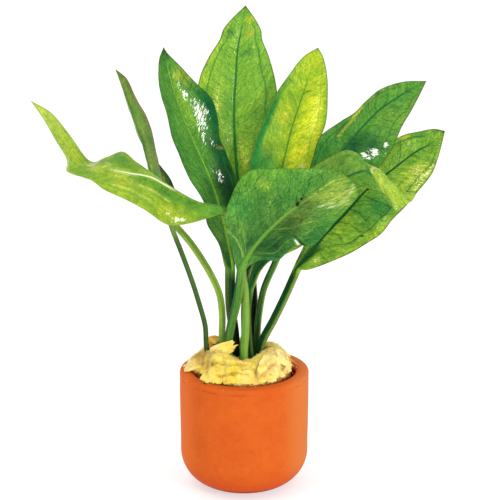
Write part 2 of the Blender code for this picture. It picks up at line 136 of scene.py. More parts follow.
# Leaves. Each is four lines through points in millimetres: the stalk from its foot on the
# rootstock up to the blade, the midrib on to the tip, and the two margins, as seen with the
# leaf's upper side up and its tip ahead.
leafShapes = {
    "leaf_back_tall": {
        "stalkRadius": 1.9,
        "stalk": [(1.2, 6.2, 40.3), (3.2, 9, 55), (3.4, 12.5, 70), (2, 17, 84.5)],
        "midrib": [
            (0.5, 21, 95.5), (-2, 24.5, 111.5), (-3.5, 29, 126), (-4, 33, 139.5),
            (-3.5, 36.5, 152.5), (-3, 39, 164), (-1.5, 41.5, 172.5), (0.5, 44, 180.5),
        ],
        "left": [
            (-5, 21.5, 106), (-11.5, 24.5, 120), (-16.5, 28.5, 134.5), (-18.5, 32.5, 145.5),
            (-17, 35, 154.5), (-13.5, 37, 162), (-9.5, 38.5, 168), (-8, 39.5, 172),
            (-5, 41.5, 175.5),
        ],
        "right": [
            (5, 21.5, 106), (9.5, 24.5, 120), (12.5, 28.5, 134.5), (13, 32.5, 145.5),
            (12, 35, 153), (9.5, 37, 162), (7, 39, 168), (6.5, 40.5, 171.5), (4, 41.5, 176),
        ],
    },
    "leaf_left_upright": {
        "stalkRadius": 2.0,
        "stalk": [(-5.2, 4.2, 40.3), (-3.8, 8.0, 55), (-5.3, 9.8, 69)],
        "midrib": [
            (-5.5, 10.5, 84), (-7, 10.5, 97), (-10, 11.5, 110.5), (-14.5, 13, 123.5),
            (-19.5, 15, 134.5), (-24, 17, 145), (-28, 18, 156), (-30.5, 19.5, 168.5),
        ],
        "left": [
            (-9.5, 5, 94), (-14, 1.5, 104.5), (-16, -0.5, 114.5), (-22.5, 0, 126),
            (-27.5, 2, 140), (-31, 6, 153.5), (-32.5, 10.5, 161), (-32, 15, 165),
        ],
        "right": [
            (-3, 12.5, 94.5), (-1.5, 15, 108), (-3, 17, 117), (-7, 19, 128), (-9.5, 20, 133),
            (-10, 21.5, 140.5), (-12.5, 22, 148), (-18, 22, 154), (-24.5, 21.5, 161),
            (-29, 20, 166),
        ],
    },
    "leaf_right_upright": {
        "stalkRadius": 1.3,
        "stalk": [(-2.2, 6.2, 40.3), (0, 4.9, 56), (0.3, 7.2, 71.5), (4.5, 10.5, 86)],
        "midrib": [
            (8.5, 13, 99), (12, 15.5, 111.5), (15.5, 19.5, 125.5), (18, 23, 135.5),
            (21, 26, 144.5), (24, 28.5, 153.5), (28.5, 32.5, 166),
        ],
        "left": [
            (4.5, 11.5, 106), (2, 13, 115), (2, 15, 122.5), (4, 17.5, 131), (7.5, 21, 139.5),
            (12, 24, 149), (18, 27.5, 157.5), (23, 30, 163),
        ],
        "right": [
            (15, 11.5, 105.5), (21.5, 13, 114.5), (26, 15, 123.5), (29, 17, 133),
            (31.5, 19.5, 139.5), (32, 23, 147.5), (32, 26.5, 156), (30.5, 30.5, 162.5),
        ],
    },
    "leaf_front": {
        "stalkRadius": 1.7,
        "stalk": [
            (-2.2, -4.2, 40.3), (-5.9, -0.8, 51), (-6, 0, 57.5), (-4.5, -2.5, 67),
            (-2.5, -5.5, 76.5),
        ],
        "midrib": [
            (-1, -9, 89), (1, -11.5, 95.5), (5, -15.5, 102.5), (9.5, -20, 109),
            (14.5, -24.5, 115), (20, -27.5, 119), (24.5, -28.5, 123), (29.5, -29, 126.5),
            (36, -28.5, 131),
        ],
        "left": [
            (2, -10, 91), (6.5, -13, 94), (12.5, -17, 95), (16.5, -20, 99.5),
            (19.5, -21.5, 102), (25, -23, 102.5), (29.5, -24, 107), (36.5, -25.5, 116),
            (41.5, -26.5, 122.5), (40, -28, 127.5),
        ],
        "right": [
            (-3, -7, 91.5), (-6, -7, 101), (-7, -9, 110.5), (-5, -11.5, 117.5),
            (-2, -14.5, 125), (3, -16, 129.5), (9.5, -18, 130.5), (17.5, -20, 131),
            (25.5, -22, 131.5), (31.5, -24.5, 131.5),
        ],
    },
    "leaf_left_drooping": {
        "stalkRadius": 1.6,
        "stalk": [
            (1.2, -4.2, 40.3), (0, -4, 53), (0.5, -4.5, 63.5), (0.5, -3.5, 73.5), (0, -2.5, 81),
            (-2.5, -3.5, 93), (-4.5, -5, 103.5),
        ],
        "midrib": [
            (-7, -6.5, 111.5), (-12.5, -10.5, 114), (-19, -15.5, 118), (-26.5, -21, 124),
            (-34, -26, 130), (-42, -28.5, 132.5), (-49.5, -30, 134.5), (-56, -31, 134.5),
            (-61, -32.5, 140), (-66, -34, 147), (-71, -34.5, 154.5), (-75.5, -35, 159.5),
        ],
        "left": [
            (-8.5, -8, 110.5), (-12.5, -13, 110.5), (-19.5, -21, 110.5), (-26.5, -27.5, 111.5),
            (-31, -32.5, 115), (-36, -36.5, 120), (-41.5, -39, 124), (-49.5, -40.5, 128),
            (-54.5, -40.5, 132), (-63, -38.5, 134.5), (-63, -36.5, 138), (-66.5, -36, 144.5),
            (-71, -35, 152.5),
        ],
        "right": [
            (-11.5, -4, 112.5), (-18.5, -4, 113.5), (-26, -8, 119), (-32, -11.5, 124),
            (-35.5, -14.5, 128.5), (-40, -15.5, 132.5), (-44.5, -15.5, 136.5),
            (-49.5, -18, 135), (-54.5, -24.5, 134.5), (-58, -29, 139), (-63, -32, 147.5),
            (-68.5, -34, 155),
        ],
    },
    "leaf_right_upper": {
        "stalkRadius": 1.3,
        "stalk": [(3.8, 4.6, 40.3), (5, 5.5, 57), (5.5, 6, 64.5), (7.5, 7, 76), (12, 7.5, 87)],
        "midrib": [
            (17.5, 8, 100.5), (23, 7, 112), (29.5, 6.5, 122), (37.5, 6.5, 132),
            (45.5, 8, 140.5), (51.5, 10.5, 146.5), (59, 14.5, 151), (69.5, 19.5, 155.5),
        ],
        "left": [
            (20, 8.5, 109.5), (23.5, 9, 118.5), (26, 9, 128), (29, 10, 136), (36, 10.5, 141.5),
            (42, 11.5, 145), (46, 13, 149), (51.5, 15.5, 153), (60.5, 18, 155.5),
        ],
        "right": [
            (25, 6.5, 105), (35, 5, 110.5), (44.5, 4, 118), (51.5, 4, 126), (56, 5, 132.5),
            (59.5, 8, 140), (63, 11.5, 145), (66.5, 15.5, 150.5),
        ],
    },
    "leaf_right_arching": {
        "stalkRadius": 1.2,
        "stalk": [(4, -2.2, 40.3), (2, -0.8, 58), (1.5, 1.5, 69.5)],
        "midrib": [
            (2.5, 2, 78), (5.5, 0, 87), (11.5, -4, 97), (18, -6.5, 107), (26.5, -10, 117.5),
            (35, -12.5, 124.5), (41, -13.5, 127.5), (46, -15, 128.5), (51.5, -17, 125),
            (57.5, -18, 122), (63, -19.5, 120.5),
        ],
        "left": [
            (2, 1.5, 83.5), (4.5, 1.5, 90.5), (10, 0, 104), (17.5, -1.5, 117), (26, -3, 127),
            (32, -4.5, 131.5), (37.5, -6.5, 134.5), (42, -9, 134), (44.5, -11.5, 131.5),
            (50.5, -15, 129), (55, -17, 124.5), (59, -19, 121.5),
        ],
        "right": [
            (5.5, -1.5, 85), (10, -4, 91), (16, -6.5, 94.5), (22, -9, 98.5), (30, -11.5, 107),
            (37.5, -14.5, 116.5), (43, -15.5, 122), (49.5, -17, 122), (53, -18, 119.5),
            (56, -19.5, 114.5), (59, -20, 117), (61.5, -20, 118.5),
        ],
    },
    "leaf_right_lower": {
        "stalkRadius": 1.6,
        "stalk": [(5.1, 1.3, 40.3), (6.5, 1, 55.5), (11.5, 1.5, 66), (15.5, 3.5, 74)],
        "midrib": [
            (20.5, 6, 85), (24.5, 7, 91), (31.5, 9, 98.5), (39, 11.5, 105.5), (47, 14.5, 113.5),
            (55, 17.5, 119.5), (65, 22, 126), (72.5, 26, 129.5), (78, 28.5, 134),
        ],
        "left": [
            (22, 10, 90.5), (25, 13, 96), (31.5, 17, 105.5), (39, 19.5, 116), (48.5, 21, 125.5),
            (55.5, 22, 130.5), (61.5, 23.5, 133.5), (68, 25.5, 134.5), (73.5, 27.5, 135),
        ],
        "right": [
            (24.5, 4, 85), (31.5, 4, 87.5), (40, 5, 91), (46.5, 6.5, 94.5), (52.5, 8.5, 98),
            (57, 11, 103), (62, 13.5, 107.5), (67, 17, 112.5), (72.5, 21, 118.5),
            (76, 25.5, 126.5),
        ],
    },
    "leaf_left_narrow": {
        "stalkRadius": 1.05,
        "stalk": [
            (-5, -2.2, 40.3), (-9, -1.5, 44), (-13, -0.5, 48), (-14.5, 1, 55), (-15, 2.5, 63),
            (-17.5, 3.5, 72.5), (-20, 4.5, 80.5), (-23.5, 5, 90.5),
        ],
        "midrib": [
            (-27, 5, 100), (-30, 6, 109.5), (-33, 6.5, 118.5), (-36, 6.5, 126.5),
            (-38.5, 7, 135.5), (-42, 8, 145.5), (-45, 8.5, 154), (-48, 9, 162),
        ],
        "left": [
            (-27, 2, 107.5), (-28.5, 0, 115.5), (-31.5, -0.5, 125), (-32.5, 0, 131),
            (-34.5, 1.5, 140), (-37.5, 2.5, 147.5), (-41, 4.5, 153.5), (-44, 7, 159),
        ],
        "right": [
            (-28.5, 10, 106), (-30.5, 12.5, 113.5), (-36.5, 13.5, 121.5), (-38, 14.5, 129.5),
            (-41, 14.5, 137), (-43.5, 13.5, 144.5), (-45.5, 12.5, 152.5), (-47, 10.5, 158),
        ],
    },
    "leaf_left_small": {
        "stalkRadius": 1.3,
        "stalk": [
            (-6, 1, 40.3), (-8.5, 3.5, 56.5), (-8.5, 4.5, 66.5), (-9.5, 5.5, 74.5),
            (-12.5, 7, 81.5), (-16.5, 9, 88), (-21, 11.5, 94),
        ],
        "midrib": [(-26, 13, 99.5), (-28.5, 15.5, 107.5), (-31.5, 19, 115), (-34.5, 22, 124)],
        "left": [(-30, 15, 105), (-33.5, 17.5, 113), (-35.5, 20, 119.5)],
        "right": [(-25.5, 13.5, 106), (-26, 15, 112), (-28.5, 17.5, 117.5), (-32, 21, 121.5)],
    },
}

leafMake = {
    "stalkRows": 60,
    "bladeRows": 230,
    # places across half a blade, from the midrib at 0 to the margin at 1, close together at nerves
    "across": [
        0, 0.018, 0.04, 0.07, 0.105, 0.14, 0.18, 0.22, 0.26, 0.295, 0.33, 0.37, 0.41, 0.45, 0.48,
        0.51, 0.54, 0.58, 0.62, 0.655, 0.685, 0.71, 0.73, 0.75, 0.77, 0.795, 0.82, 0.85, 0.885,
        0.915, 0.945, 0.97, 0.988, 1,
    ],
    # the arching side nerves: share of the half width, and how strong each one is
    "nerves": [(0.74, 1.0), (0.48, 0.4), (0.26, 0.25)],
    "bladeHalf": 0.23,  # mm, half the thickness of a blade
    "stalkBlend": 0.16,  # share of the blade over which the round stalk flattens
    "bulge": 0.16,  # how much each half of a blade domes
    "ribHeight": 0.8,  # mm, the midrib's ridge on the under side
    "ribHalf": 0.85,  # mm
    "grooveDepth": 0.14,  # mm, the midrib's groove on the upper side
    "nerveHalf": 0.3,  # mm
    "nerveHeight": 0.14,  # mm
    "veinSpace": 4.4,  # mm between cross veins
    "veinRise": 0.8,  # mm that a cross vein climbs for each mm outwards
    "veinHalf": 0.35,  # mm
    "veinDepth": 0.06,  # mm
    "veinWander": [(9.0, 3.2, 3), (3.0, 1.0, 5)],  # size and reach in mm, and which noise
    "stalkGroove": 0.4,  # share of the stalk's radius
    "quilt": 0.17,  # mm, the blistered surface between the nerves
    "quiltSize": 4.5,  # mm
    "tipShare": 0.997,
    # noise patterns of the material: turns for each mm, detail and roughness
    "patterns": {
        "drift": (0.09, 1.0, 0.5), "faint": (0.3, 1.0, 0.5), "clouds": (0.17, 5.0, 0.62),
        "grain": (0.95, 4.0, 0.8), "fleck": (2.1, 1.0, 0.5), "fine": (1.3, 3.0, 0.55),
    },
    # the net between the cross veins, drawn out along them, and the finest one, about 1 mm
    "nets": [(0.36, 0.09), (1.05, 0.2)],
}
# what a leaf's mesh hands to its material, place by place
leafValues = (
    "acrossMm", "alongMm", "slantMm", "bladeShare", "underSide", "wet", "ribAcross", "nerveMm",
    "secondMm", "edgeMm", "paintedGlint",
)


def ease(share):
    share = np.clip(share, 0, 1)
    return share * share * (3 - 2 * share)


def alongCurve(points, shares):
    # points at shares of the way along a smooth curve through given points
    points = np.asarray(points, float)
    steps = np.linalg.norm(np.diff(points, axis=0), axis=1)
    reach = np.concatenate([[0], np.cumsum(steps)])
    slopes = np.empty_like(points)
    slopes[1:-1] = (points[2:] - points[:-2]) / (reach[2:] - reach[:-2])[:, None]
    slopes[0] = (points[1] - points[0]) / steps[0]
    slopes[-1] = (points[-1] - points[-2]) / steps[-1]
    place = np.clip(shares, 0, 1) * reach[-1]
    i = np.clip(np.searchsorted(reach, place, side="right") - 1, 0, len(points) - 2)
    span = steps[i][:, None]
    t = ((place - reach[i]) / steps[i])[:, None]
    return (
        points[i] * (2 * t**3 - 3 * t**2 + 1)
        + slopes[i] * span * (t**3 - 2 * t**2 + t)
        + points[i + 1] * (3 * t**2 - 2 * t**3)
        + slopes[i + 1] * span * (t**3 - t**2)
    )


def unit(vectors):
    return vectors / np.linalg.norm(vectors, axis=-1, keepdims=True)


def noiseField(x, y, seed, size):
    # smooth noise over places in mm, about -1 to 1
    field = [noise.noise(Vector((a, b, seed)) / size) for a, b in zip(x.ravel(), y.ravel())]
    return np.reshape(field, x.shape)


def leafRows(shape):
    # middle, vectors to both margins and direction of every row, and its share of the blade
    radius = shape["stalkRadius"]
    midrib = np.array(shape["midrib"], float)
    stalk = np.array([*shape["stalk"], midrib[0]], float)
    left = np.array(shape["left"], float)
    right = np.array(shape["right"], float)
    start = unit(midrib[0] - stalk[-2])
    side = right[0] - left[0]
    side = unit(side - start * side.dot(start))
    left = np.array([midrib[0] - side * radius, *left, midrib[-1]])
    right = np.array([midrib[0] + side * radius, *right, midrib[-1]])

    share = np.arange(leafMake["stalkRows"]) / leafMake["stalkRows"]
    middleA = alongCurve(stalk, share)
    alongA = unit(alongCurve(stalk, share + 0.02) - alongCurve(stalk, share - 0.02))
    across = unit(side - alongA * (alongA @ side)[:, None]) * radius
    blade = leafMake["tipShare"] * np.linspace(0, 1, leafMake["bladeRows"]) ** 0.97
    middleB = alongCurve(midrib, blade)
    alongB = unit(alongCurve(midrib, blade + 0.015) - alongCurve(midrib, blade - 0.015))
    middle = np.concatenate([middleA, middleB])
    stalkMm = np.linalg.norm(np.diff(stalk, axis=0), axis=1).sum()
    bladeMm = np.linalg.norm(np.diff(midrib, axis=0), axis=1).sum()
    return {
        "middle": middle,
        "along": np.concatenate([alongA, alongB]),
        "left": np.concatenate([-across, alongCurve(left, blade) - middleB]),
        "right": np.concatenate([across, alongCurve(right, blade) - middleB]),
        "share": np.concatenate([0 * share, blade]),
        "alongMm": np.concatenate([(share - 1) * stalkMm, blade * bladeMm]),
        "tip": midrib[-1],
    }


def makeLeaf(name, shape, look):
    rows = leafRows(shape)
    half = np.array(leafMake["across"])
    upper = np.concatenate([-half[::-1], half[1:]])
    s = np.concatenate([upper, upper[-2::-1]])
    under = np.concatenate([np.zeros(len(upper)), np.ones(len(upper) - 1)])
    under[len(upper) - 1] = under[0] = under[-1] = 0.5
    count = len(rows["share"])
    piece, column, row = wrappedGrid(name.replace("leaf_", "") + "_leaf", len(s), count + 2)

    share = rows["share"][:, None]
    flat = ease(share / leafMake["stalkBlend"])
    along, left, right = rows["along"], rows["left"], rows["right"]
    leftUp = unit(np.cross(along, left))
    rightUp = unit(np.cross(right, along))
    onLeft = (s < 0)[None, :, None]
    halfVector = np.where(onLeft, left[:, None, :], right[:, None, :])
    up = np.where(onLeft, leftUp[:, None, :], rightUp[:, None, :])
    blendUp = unit(leftUp + rightUp)[:, None, :]
    near = np.exp(-((s / 0.1) ** 2))[None, :, None]
    up = unit(up * (1 - near) + blendUp * near)
    size = np.linalg.norm(halfVector, axis=2)
    reach = np.abs(s)[None, :]
    isUnder = under[None, :] > 0.75
    sign = np.where(isUnder, -1.0, 1.0)
    edge = np.where(reach < 1, 1.0, 0.0)
    acrossMm = s[None, :] * size
    alongMm = rows["alongMm"][:, None] + 0 * acrossMm

    point = rows["middle"][:, None, :] + halfVector * reach[:, :, None]
    point = point + up * (flat * leafMake["bulge"] * size * reach * (1 - reach))[:, :, None]
    roundOut = np.sqrt(1 - reach**2)
    thick = shape["stalkRadius"] * (1 - flat) * roundOut
    thick = thick + leafMake["bladeHalf"] * flat * np.minimum(1, roundOut * 1.6) * (1 - 0.5 * share)
    groove = np.exp(-((reach / 0.42) ** 2)) * leafMake["stalkGroove"] * shape["stalkRadius"]
    thick = thick - np.where(isUnder, 0, groove * (1 - flat))
    fade = flat * (1 - 0.8 * share)
    drift = np.interp(share, *zip(*look["ribDrift"]))
    ribHalf = leafMake["ribHalf"] * look["ribWide"] * (1 - 0.65 * share)
    ribAcross = (s[None, :] - drift) * size / ribHalf
    rib = np.exp(-(ribAcross**2))
    ridge = np.where(isUnder, leafMake["ribHeight"] * look["ribWide"], -leafMake["grooveDepth"])
    thick = thick + ridge * rib * fade

    nerve = 0 * acrossMm
    fromNerve = [(reach - place * ease(share / 0.3)) * size for place, _ in leafMake["nerves"]]
    for away, (_, strength) in zip(fromNerve, leafMake["nerves"]):
        nerve = np.maximum(nerve, strength * np.exp(-((away / leafMake["nerveHalf"]) ** 2)))
    nerve = nerve * ease(share / 0.1) * (1 - 0.6 * share) * ease((1 - share) / 0.06)
    thick = thick + np.where(isUnder, 1, -0.8) * leafMake["nerveHeight"] * nerve

    # cross veins leave the midrib every few millimetres and climb toward the margin
    seed = look["seed"]
    wander = 0 * acrossMm
    for width, far, number in leafMake["veinWander"]:
        wander = wander + far * noiseField(acrossMm, alongMm, seed + number, width)
    slant = alongMm - leafMake["veinRise"] * np.abs(acrossMm) + wander
    away = np.abs((slant / leafMake["veinSpace"] + 0.5) % 1 - 0.5) * leafMake["veinSpace"]
    vein = np.exp(-((away / leafMake["veinHalf"]) ** 2)) * flat * ease((1 - share) / 0.1)
    thick = thick + np.where(isUnder, 0.6, -1) * leafMake["veinDepth"] * vein

    # the blistered surface and the wave of the margins move both sides together
    quiltSize = leafMake["quiltSize"]
    lift = noiseField(acrossMm, alongMm * 0.8, seed, quiltSize)
    lift = lift + 0.5 * noiseField(acrossMm, alongMm * 0.8, seed + 9, quiltSize / 2.3)
    lift = lift * leafMake["quilt"] * (1 - nerve)
    wave = np.sin(math.tau * alongMm / look["waveLength"] + np.where(s < 0, 1.3, 0.2) + seed)
    lift = lift + wave * look["wave"] * reach**3 * np.minimum(1, size / 8)
    lift = lift * flat * ease((1 - share) / 0.05)

    point = point + up * (lift + sign * thick * edge)[:, :, None]
    foot = rows["middle"][0]
    point[0, :, 2] = foot[2]
    first = np.repeat(foot[None, None, :], len(s), axis=1)
    last = np.repeat(rows["tip"][None, None, :], len(s), axis=1)
    placePoints(piece, np.concatenate([first, point, last])[row, column])

    full = np.concatenate([[0], np.arange(count), [count - 1]])[row]
    values = {
        "acrossShare": s[column],
        "bladeShare": rows["share"][full],
        "acrossMm": acrossMm[full, column],
        "alongMm": alongMm[full, column],
        "slantMm": slant[full, column],
        "underSide": under[column],
        "ribAcross": ribAcross[full, column],
        "nerveMm": fromNerve[0][full, column],
        "secondMm": fromNerve[1][full, column],
        "edgeMm": ((1 - reach) * size)[full, column],
        "nerve": nerve[full, column],
    }
    values["wet"] = 0 * values["ribAcross"]
    # painted highlight: white glints laid on the upper side only, where a wet cuticle would mirror the
    # lamps
    values["paintedGlint"] = 0 * values["wet"]
    for label in ("wet", "paintedGlint"):
        for middle, spread, strength in look[label]:
            values[label] = values[label] + strength * bellShare(values, middle, spread)
    values["paintedGlint"] = values["paintedGlint"] * (values["underSide"] < 0.5)
    # places in mm on the flattened leaf, for the lines
    tipMm = rows["alongMm"][-1]
    values["lines"] = []
    for color, line, halfWide, strength in look["lines"]:
        spots = []
        for across, shareAlong in line:
            near = np.argmin(np.abs(rows["share"] - shareAlong) + (rows["share"] == 0))
            reachMm = np.linalg.norm((left if across < 0 else right)[near])
            spots.append((across * reachMm, shareAlong * tipMm))
        away, _ = besideLine(values["acrossMm"], values["alongMm"], spots)
        values["lines"].append((color, strength * np.exp(-((away / halfWide) ** 2))))
    for label in leafValues:
        layer = piece.data.attributes.new(label, "FLOAT", "POINT")
        layer.data.foreach_set("value", values[label].astype(np.float32))
    paintLeaf(piece, values, look)
    unwrapLeaf(piece, s, column, row, count + 1, len(upper))
    closeSeams(piece)
    finishPiece(piece, leafMaterial(name, look), look["slot"], name)


def unwrapLeaf(piece, s, column, row, lastRow, upperCount):
    # the upper side fills the left half of the map and the under side the right half
    across = np.where(np.arange(len(s)) < upperCount, (s + 1) / 4, 1 - (s + 1) / 4)
    loops = np.empty(len(piece.data.loops), np.int32)
    piece.data.loops.foreach_get("vertex_index", loops)
    uv = np.stack([across[column[loops]], row[loops] / lastRow], axis=1)
    piece.data.uv_layers.active.data.foreach_set("uv", uv.astype(np.float32).ravel())


def besideLine(x, y, line):
    # distance of each place from a line through points, positive to its left, and a fade at its ends
    best = np.full(np.shape(x), 1e9)
    signed, along = np.zeros(np.shape(x)), np.zeros(np.shape(x))
    for number, ((x0, y0), (x1, y1)) in enumerate(zip(line, line[1:])):
        dx, dy = x1 - x0, y1 - y0
        t = np.clip(((x - x0) * dx + (y - y0) * dy) / (dx * dx + dy * dy), 0, 1)
        away = np.hypot(x - x0 - t * dx, y - y0 - t * dy)
        left = np.sign(dx * (y - y0) - dy * (x - x0))
        nearer = away < best
        best = np.where(nearer, away, best)
        signed = np.where(nearer, away * left, signed)
        along = np.where(nearer, (number + t) / (len(line) - 1), along)
    return signed, np.minimum(1, 4 * along) * np.minimum(1, 4 * (1 - along))


def bellShare(values, middle, spread, power=2):
    # 1 at a place on the leaf, given as (across, along), and less away from it; a spread of 0 has no end
    share = np.ones(len(values["bladeShare"]))
    for label, center, width in zip(("acrossShare", "bladeShare"), middle, spread):
        if width:
            share = share * np.exp(-(np.abs((values[label] - center) / width) ** power))
    return share


def mixIn(tint, hexColor, weight):
    weight = np.clip(weight, 0, 1)[:, None]
    return tint * (1 - weight) + np.array(linear(hexColor)) * weight


def paintLeaf(piece, values, look):
    # broad colours by place on the leaf; the material adds the midrib, nerves, veins, net and specks
    across, along = values["acrossShare"], values["alongMm"]
    isUnder = ease((values["underSide"] - 0.4) / 0.2)
    isSeen = isUnder if look["seen"] == "under" else 1 - isUnder
    tint = np.zeros((len(across), 4))
    tint[:] = linear(look["upper"])
    tint = mixIn(tint, look["under"], isUnder)
    for zones, side in ((look["zones"], isSeen), (look["allRound"], 1)):
        for color, middle, spread, strength, *power in zones:
            weight = strength * bellShare(values, middle, spread, *power) * ease(along / 4 + 0.5)
            tint = mixIn(tint, color, weight * side)
    for color, weight in values["lines"]:
        tint = mixIn(tint, color, weight * isSeen)
    tint = mixIn(tint, look["nerveColor"], values["nerve"] * look["nerve"] * 0.5)
    stalk = ease(-along / 6 + 0.2)
    tint = mixIn(tint, look["stalk"], stalk)
    # painted shade: one side of the stalk darker, the side the light does not reach
    tint = mixIn(tint, look["stalkShade"], stalk * ease(look["stalkSide"] * across * 1.6 + 0.1))
    # painted shade: the stalk darker down at its foot, in the shade among the other stalks and the wool
    tint = mixIn(tint, look["stalkFootShade"], ease((-along - look["footShadeFrom"]) / 18) * 0.85)
    layer = piece.data.color_attributes.new("leafTint", "FLOAT_COLOR", "POINT")
    layer.data.foreach_set("color", tint.astype(np.float32).ravel())


def leafMaterial(name, look):
    # Living leaf under a waxy cuticle, still wet: a soft body with a clear glossy coat, and painted
    # glints on it
    material, tree, shader = newMaterial("waxy_leaf_" + name, 0.42)
    tint = addNode(tree, "Attribute", out="Color", attribute_name="leafTint")
    read = {key: addNode(tree, "Attribute", out="Fac", attribute_name=key) for key in leafValues}
    across, along, share, slant = (read[key] for key in ("acrossMm", "alongMm", "bladeShare", "slantMm"))
    place = addNode(tree, "CombineXYZ", [across, along, look["seed"]])
    patterns = {}
    for key, (scale, detail, roughness) in leafMake["patterns"].items():
        sockets = {"Vector": place, "Scale": scale, "Detail": detail, "Roughness": roughness}
        patterns[key] = addNode(tree, "TexNoise", sockets)
    clouds, grain, fleck = patterns["clouds"], patterns["grain"], patterns["fleck"]
    drawn = addNode(tree, "Mapping", {"Vector": place, "Scale": (1.0, 0.1, 1.0)})
    sockets = {"Vector": drawn, "Scale": 1.1, "Detail": 3.0, "Roughness": 0.65}
    streak = addNode(tree, "TexNoise", sockets)
    bend = addNode(tree, "TexNoise", {"Vector": place, "Scale": 0.55, "Detail": 2.0}, None)
    steep = addNode(tree, "Math", [slant, 1.6], operation="MULTIPLY")
    steepPlace = addNode(tree, "CombineXYZ", [across, steep, look["seed"]])
    sockets = [bend["Color"], (1.8, 1.8, 0.0), steepPlace]
    bentPlace = addNode(tree, "VectorMath", sockets, operation="MULTIPLY_ADD")

    # cross veins, a few millimetres apart, that come and go
    turns = addNode(tree, "Math", [slant, 1 / leafMake["veinSpace"]], operation="MULTIPLY")
    apart = addNode(tree, "Math", [turns, 0.5], operation="PINGPONG")
    clear = addNode(tree, "MapRange", [patterns["faint"], 0.38, 0.6, 0.1, 1.0], **smooth)
    veins = addNode(tree, "MapRange", [apart, 0.06, 0.018], **smooth)
    veins = addNode(tree, "Math", [veins, clear], operation="MULTIPLY")
    nets = []
    for (scale, wide), vector in zip(leafMake["nets"], (bentPlace, place)):
        sockets = {"Vector": vector, "Scale": scale, "Randomness": 0.95}
        gap = addNode(tree, "TexVoronoi", sockets, feature="DISTANCE_TO_EDGE")
        nets.append(addNode(tree, "MapRange", [gap, wide, 0.01], **smooth))
    # some meshes of the net are paler than others
    cell = addNode(tree, "TexVoronoi", {"Vector": bentPlace, "Scale": 0.62, "Randomness": 0.95}, "Color")
    cell = addNode(tree, "SeparateColor", [cell])

    # the side nerves wander a little from their places in the mesh, the second one is fainter
    sway = addNode(tree, "MapRange", [patterns["drift"], 0.2, 0.8, -0.9, 0.9], **smooth)
    tremble = addNode(tree, "MapRange", [bend["Fac"], 0.2, 0.8, -0.12, 0.12], **smooth)
    sway = addNode(tree, "Math", [sway, tremble], operation="ADD")
    strands = []
    for key, full, end, strength in (("nerveMm", 0.1, 0.42, 1.0), ("secondMm", 0.05, 0.3, 0.4)):
        away = addNode(tree, "Math", [read[key], sway], operation="ADD")
        away = addNode(tree, "Math", [away], operation="ABSOLUTE")
        strands.append(addNode(tree, "MapRange", [away, end, full, 0.0, strength], **smooth))
    nerve = addNode(tree, "Math", strands, operation="MAXIMUM")
    beforeTip = addNode(tree, "MapRange", [share, 0.97, 0.84], **smooth)
    nerve = addNode(tree, "Math", [nerve, beforeTip], operation="MULTIPLY")

    nearRib = addNode(tree, "Math", [read["ribAcross"]], operation="ABSOLUTE")
    ribStart, ribEnd = (along, *look["ribFrom"]), (share, *look["ribTo"][::-1])
    ribUnder = addNode(tree, "Math", [read["underSide"], 0.5], operation="GREATER_THAN")
    ribTone = layTones(tree, linear(look["ribUpper"]), [(look["ribUnder"], ribUnder)])

    # painted glints: white highlights painted on in broken flecks, standing in for the lamps' light held
    # by drops and films of water
    sockets = {"Vector": bentPlace, "Scale": look["glintScale"], "Detail": 3.0, "Roughness": 0.6}
    glintFlecks = addNode(tree, "TexNoise", sockets)
    glintFlecks = addNode(tree, "Math", [read["paintedGlint"], 0.26, glintFlecks], operation="MULTIPLY_ADD")

    onBlade = addNode(tree, "MapRange", [along, 1.0, 10.0], **smooth)
    onStalk = addNode(tree, "Math", [1.0, onBlade], operation="SUBTRACT")
    pale, bright, deep = look["pale"], (2.3, 1.75, 1.6), look["deep"]
    layers = [
        (pale, (clouds, 0.46, 0.62), look["mottle"], onBlade),
        (deep, (clouds, 0.52, 0.36), look["shade"], onBlade),
        (pale, (streak, 0.53, 0.72), look["streak"], onBlade),
        (deep, (streak, 0.47, 0.28), look["streak"], onBlade),
        (pale, (cell, 0.5, 1.0), look["cells"], onBlade),
        (deep, (cell, 0.5, 0.0), look["cells"], onBlade),
        (pale, (grain, 0.5, 0.64), look["grain"], onBlade),
        (deep, (grain, 0.5, 0.36), look["grain"], onBlade),
        (deep, nets[1], look["net"], onBlade),
        (deep, nets[0], look["cross"] * 0.6, onBlade),
        (deep, veins, look["cross"], onBlade),
        (bright, (fleck, 0.62, 0.7), look["speck"], onBlade),
        (look["nerveColor"], nerve, look["nerve"], onBlade),
        (look["edgeColor"], (read["edgeMm"], 0.7, 0.15), (share, 0.02, 0.1), look["edge"], onBlade),
        ((1.7, 1.5, 1.3), (streak, 0.52, 0.7), 0.5, onStalk),
        ((0.3, 0.5, 0.45), (streak, 0.48, 0.3), 0.6, onStalk),
        # painted light: a pale rim along the stalk's edges
        ("#B4C452", (read["edgeMm"], 0.4, 0.1), look["stalkRimLight"], onStalk),
        (ribTone, (nearRib, 1.0, 0.45), ribStart, ribEnd, look["rib"]),
    ]
    # dead spots, eaten through or dried black
    objectPlace = addNode(tree, "TexCoord", out="Object")
    for spot, radius in look["spots"]:
        sockets = [objectPlace, [value * mm for value in spot]]
        away = addNode(tree, "VectorMath", sockets, "Value", operation="DISTANCE")
        ragged = addNode(tree, "Math", [grain, radius * 1.2 * mm, away], operation="MULTIPLY_ADD")
        for tone, full, end in (("#3C3E16", 1.5, 2.1), ("#050602", 1.2, 1.5)):
            layers.append((tone, (ragged, end * radius * mm, full * radius * mm)))
    layers.append(((look["tone"], look["tone"], look["tone"] * 0.8), 1.0))
    # painted highlight: the glint colour laid over the leaf in broken flecks
    layers.append((look["glintColor"], (glintFlecks, 0.7, 0.76), (read["paintedGlint"], 0.05, 0.3), 0.95))
    tree.links.new(layTones(tree, tint, layers), shader.inputs["Base Color"])

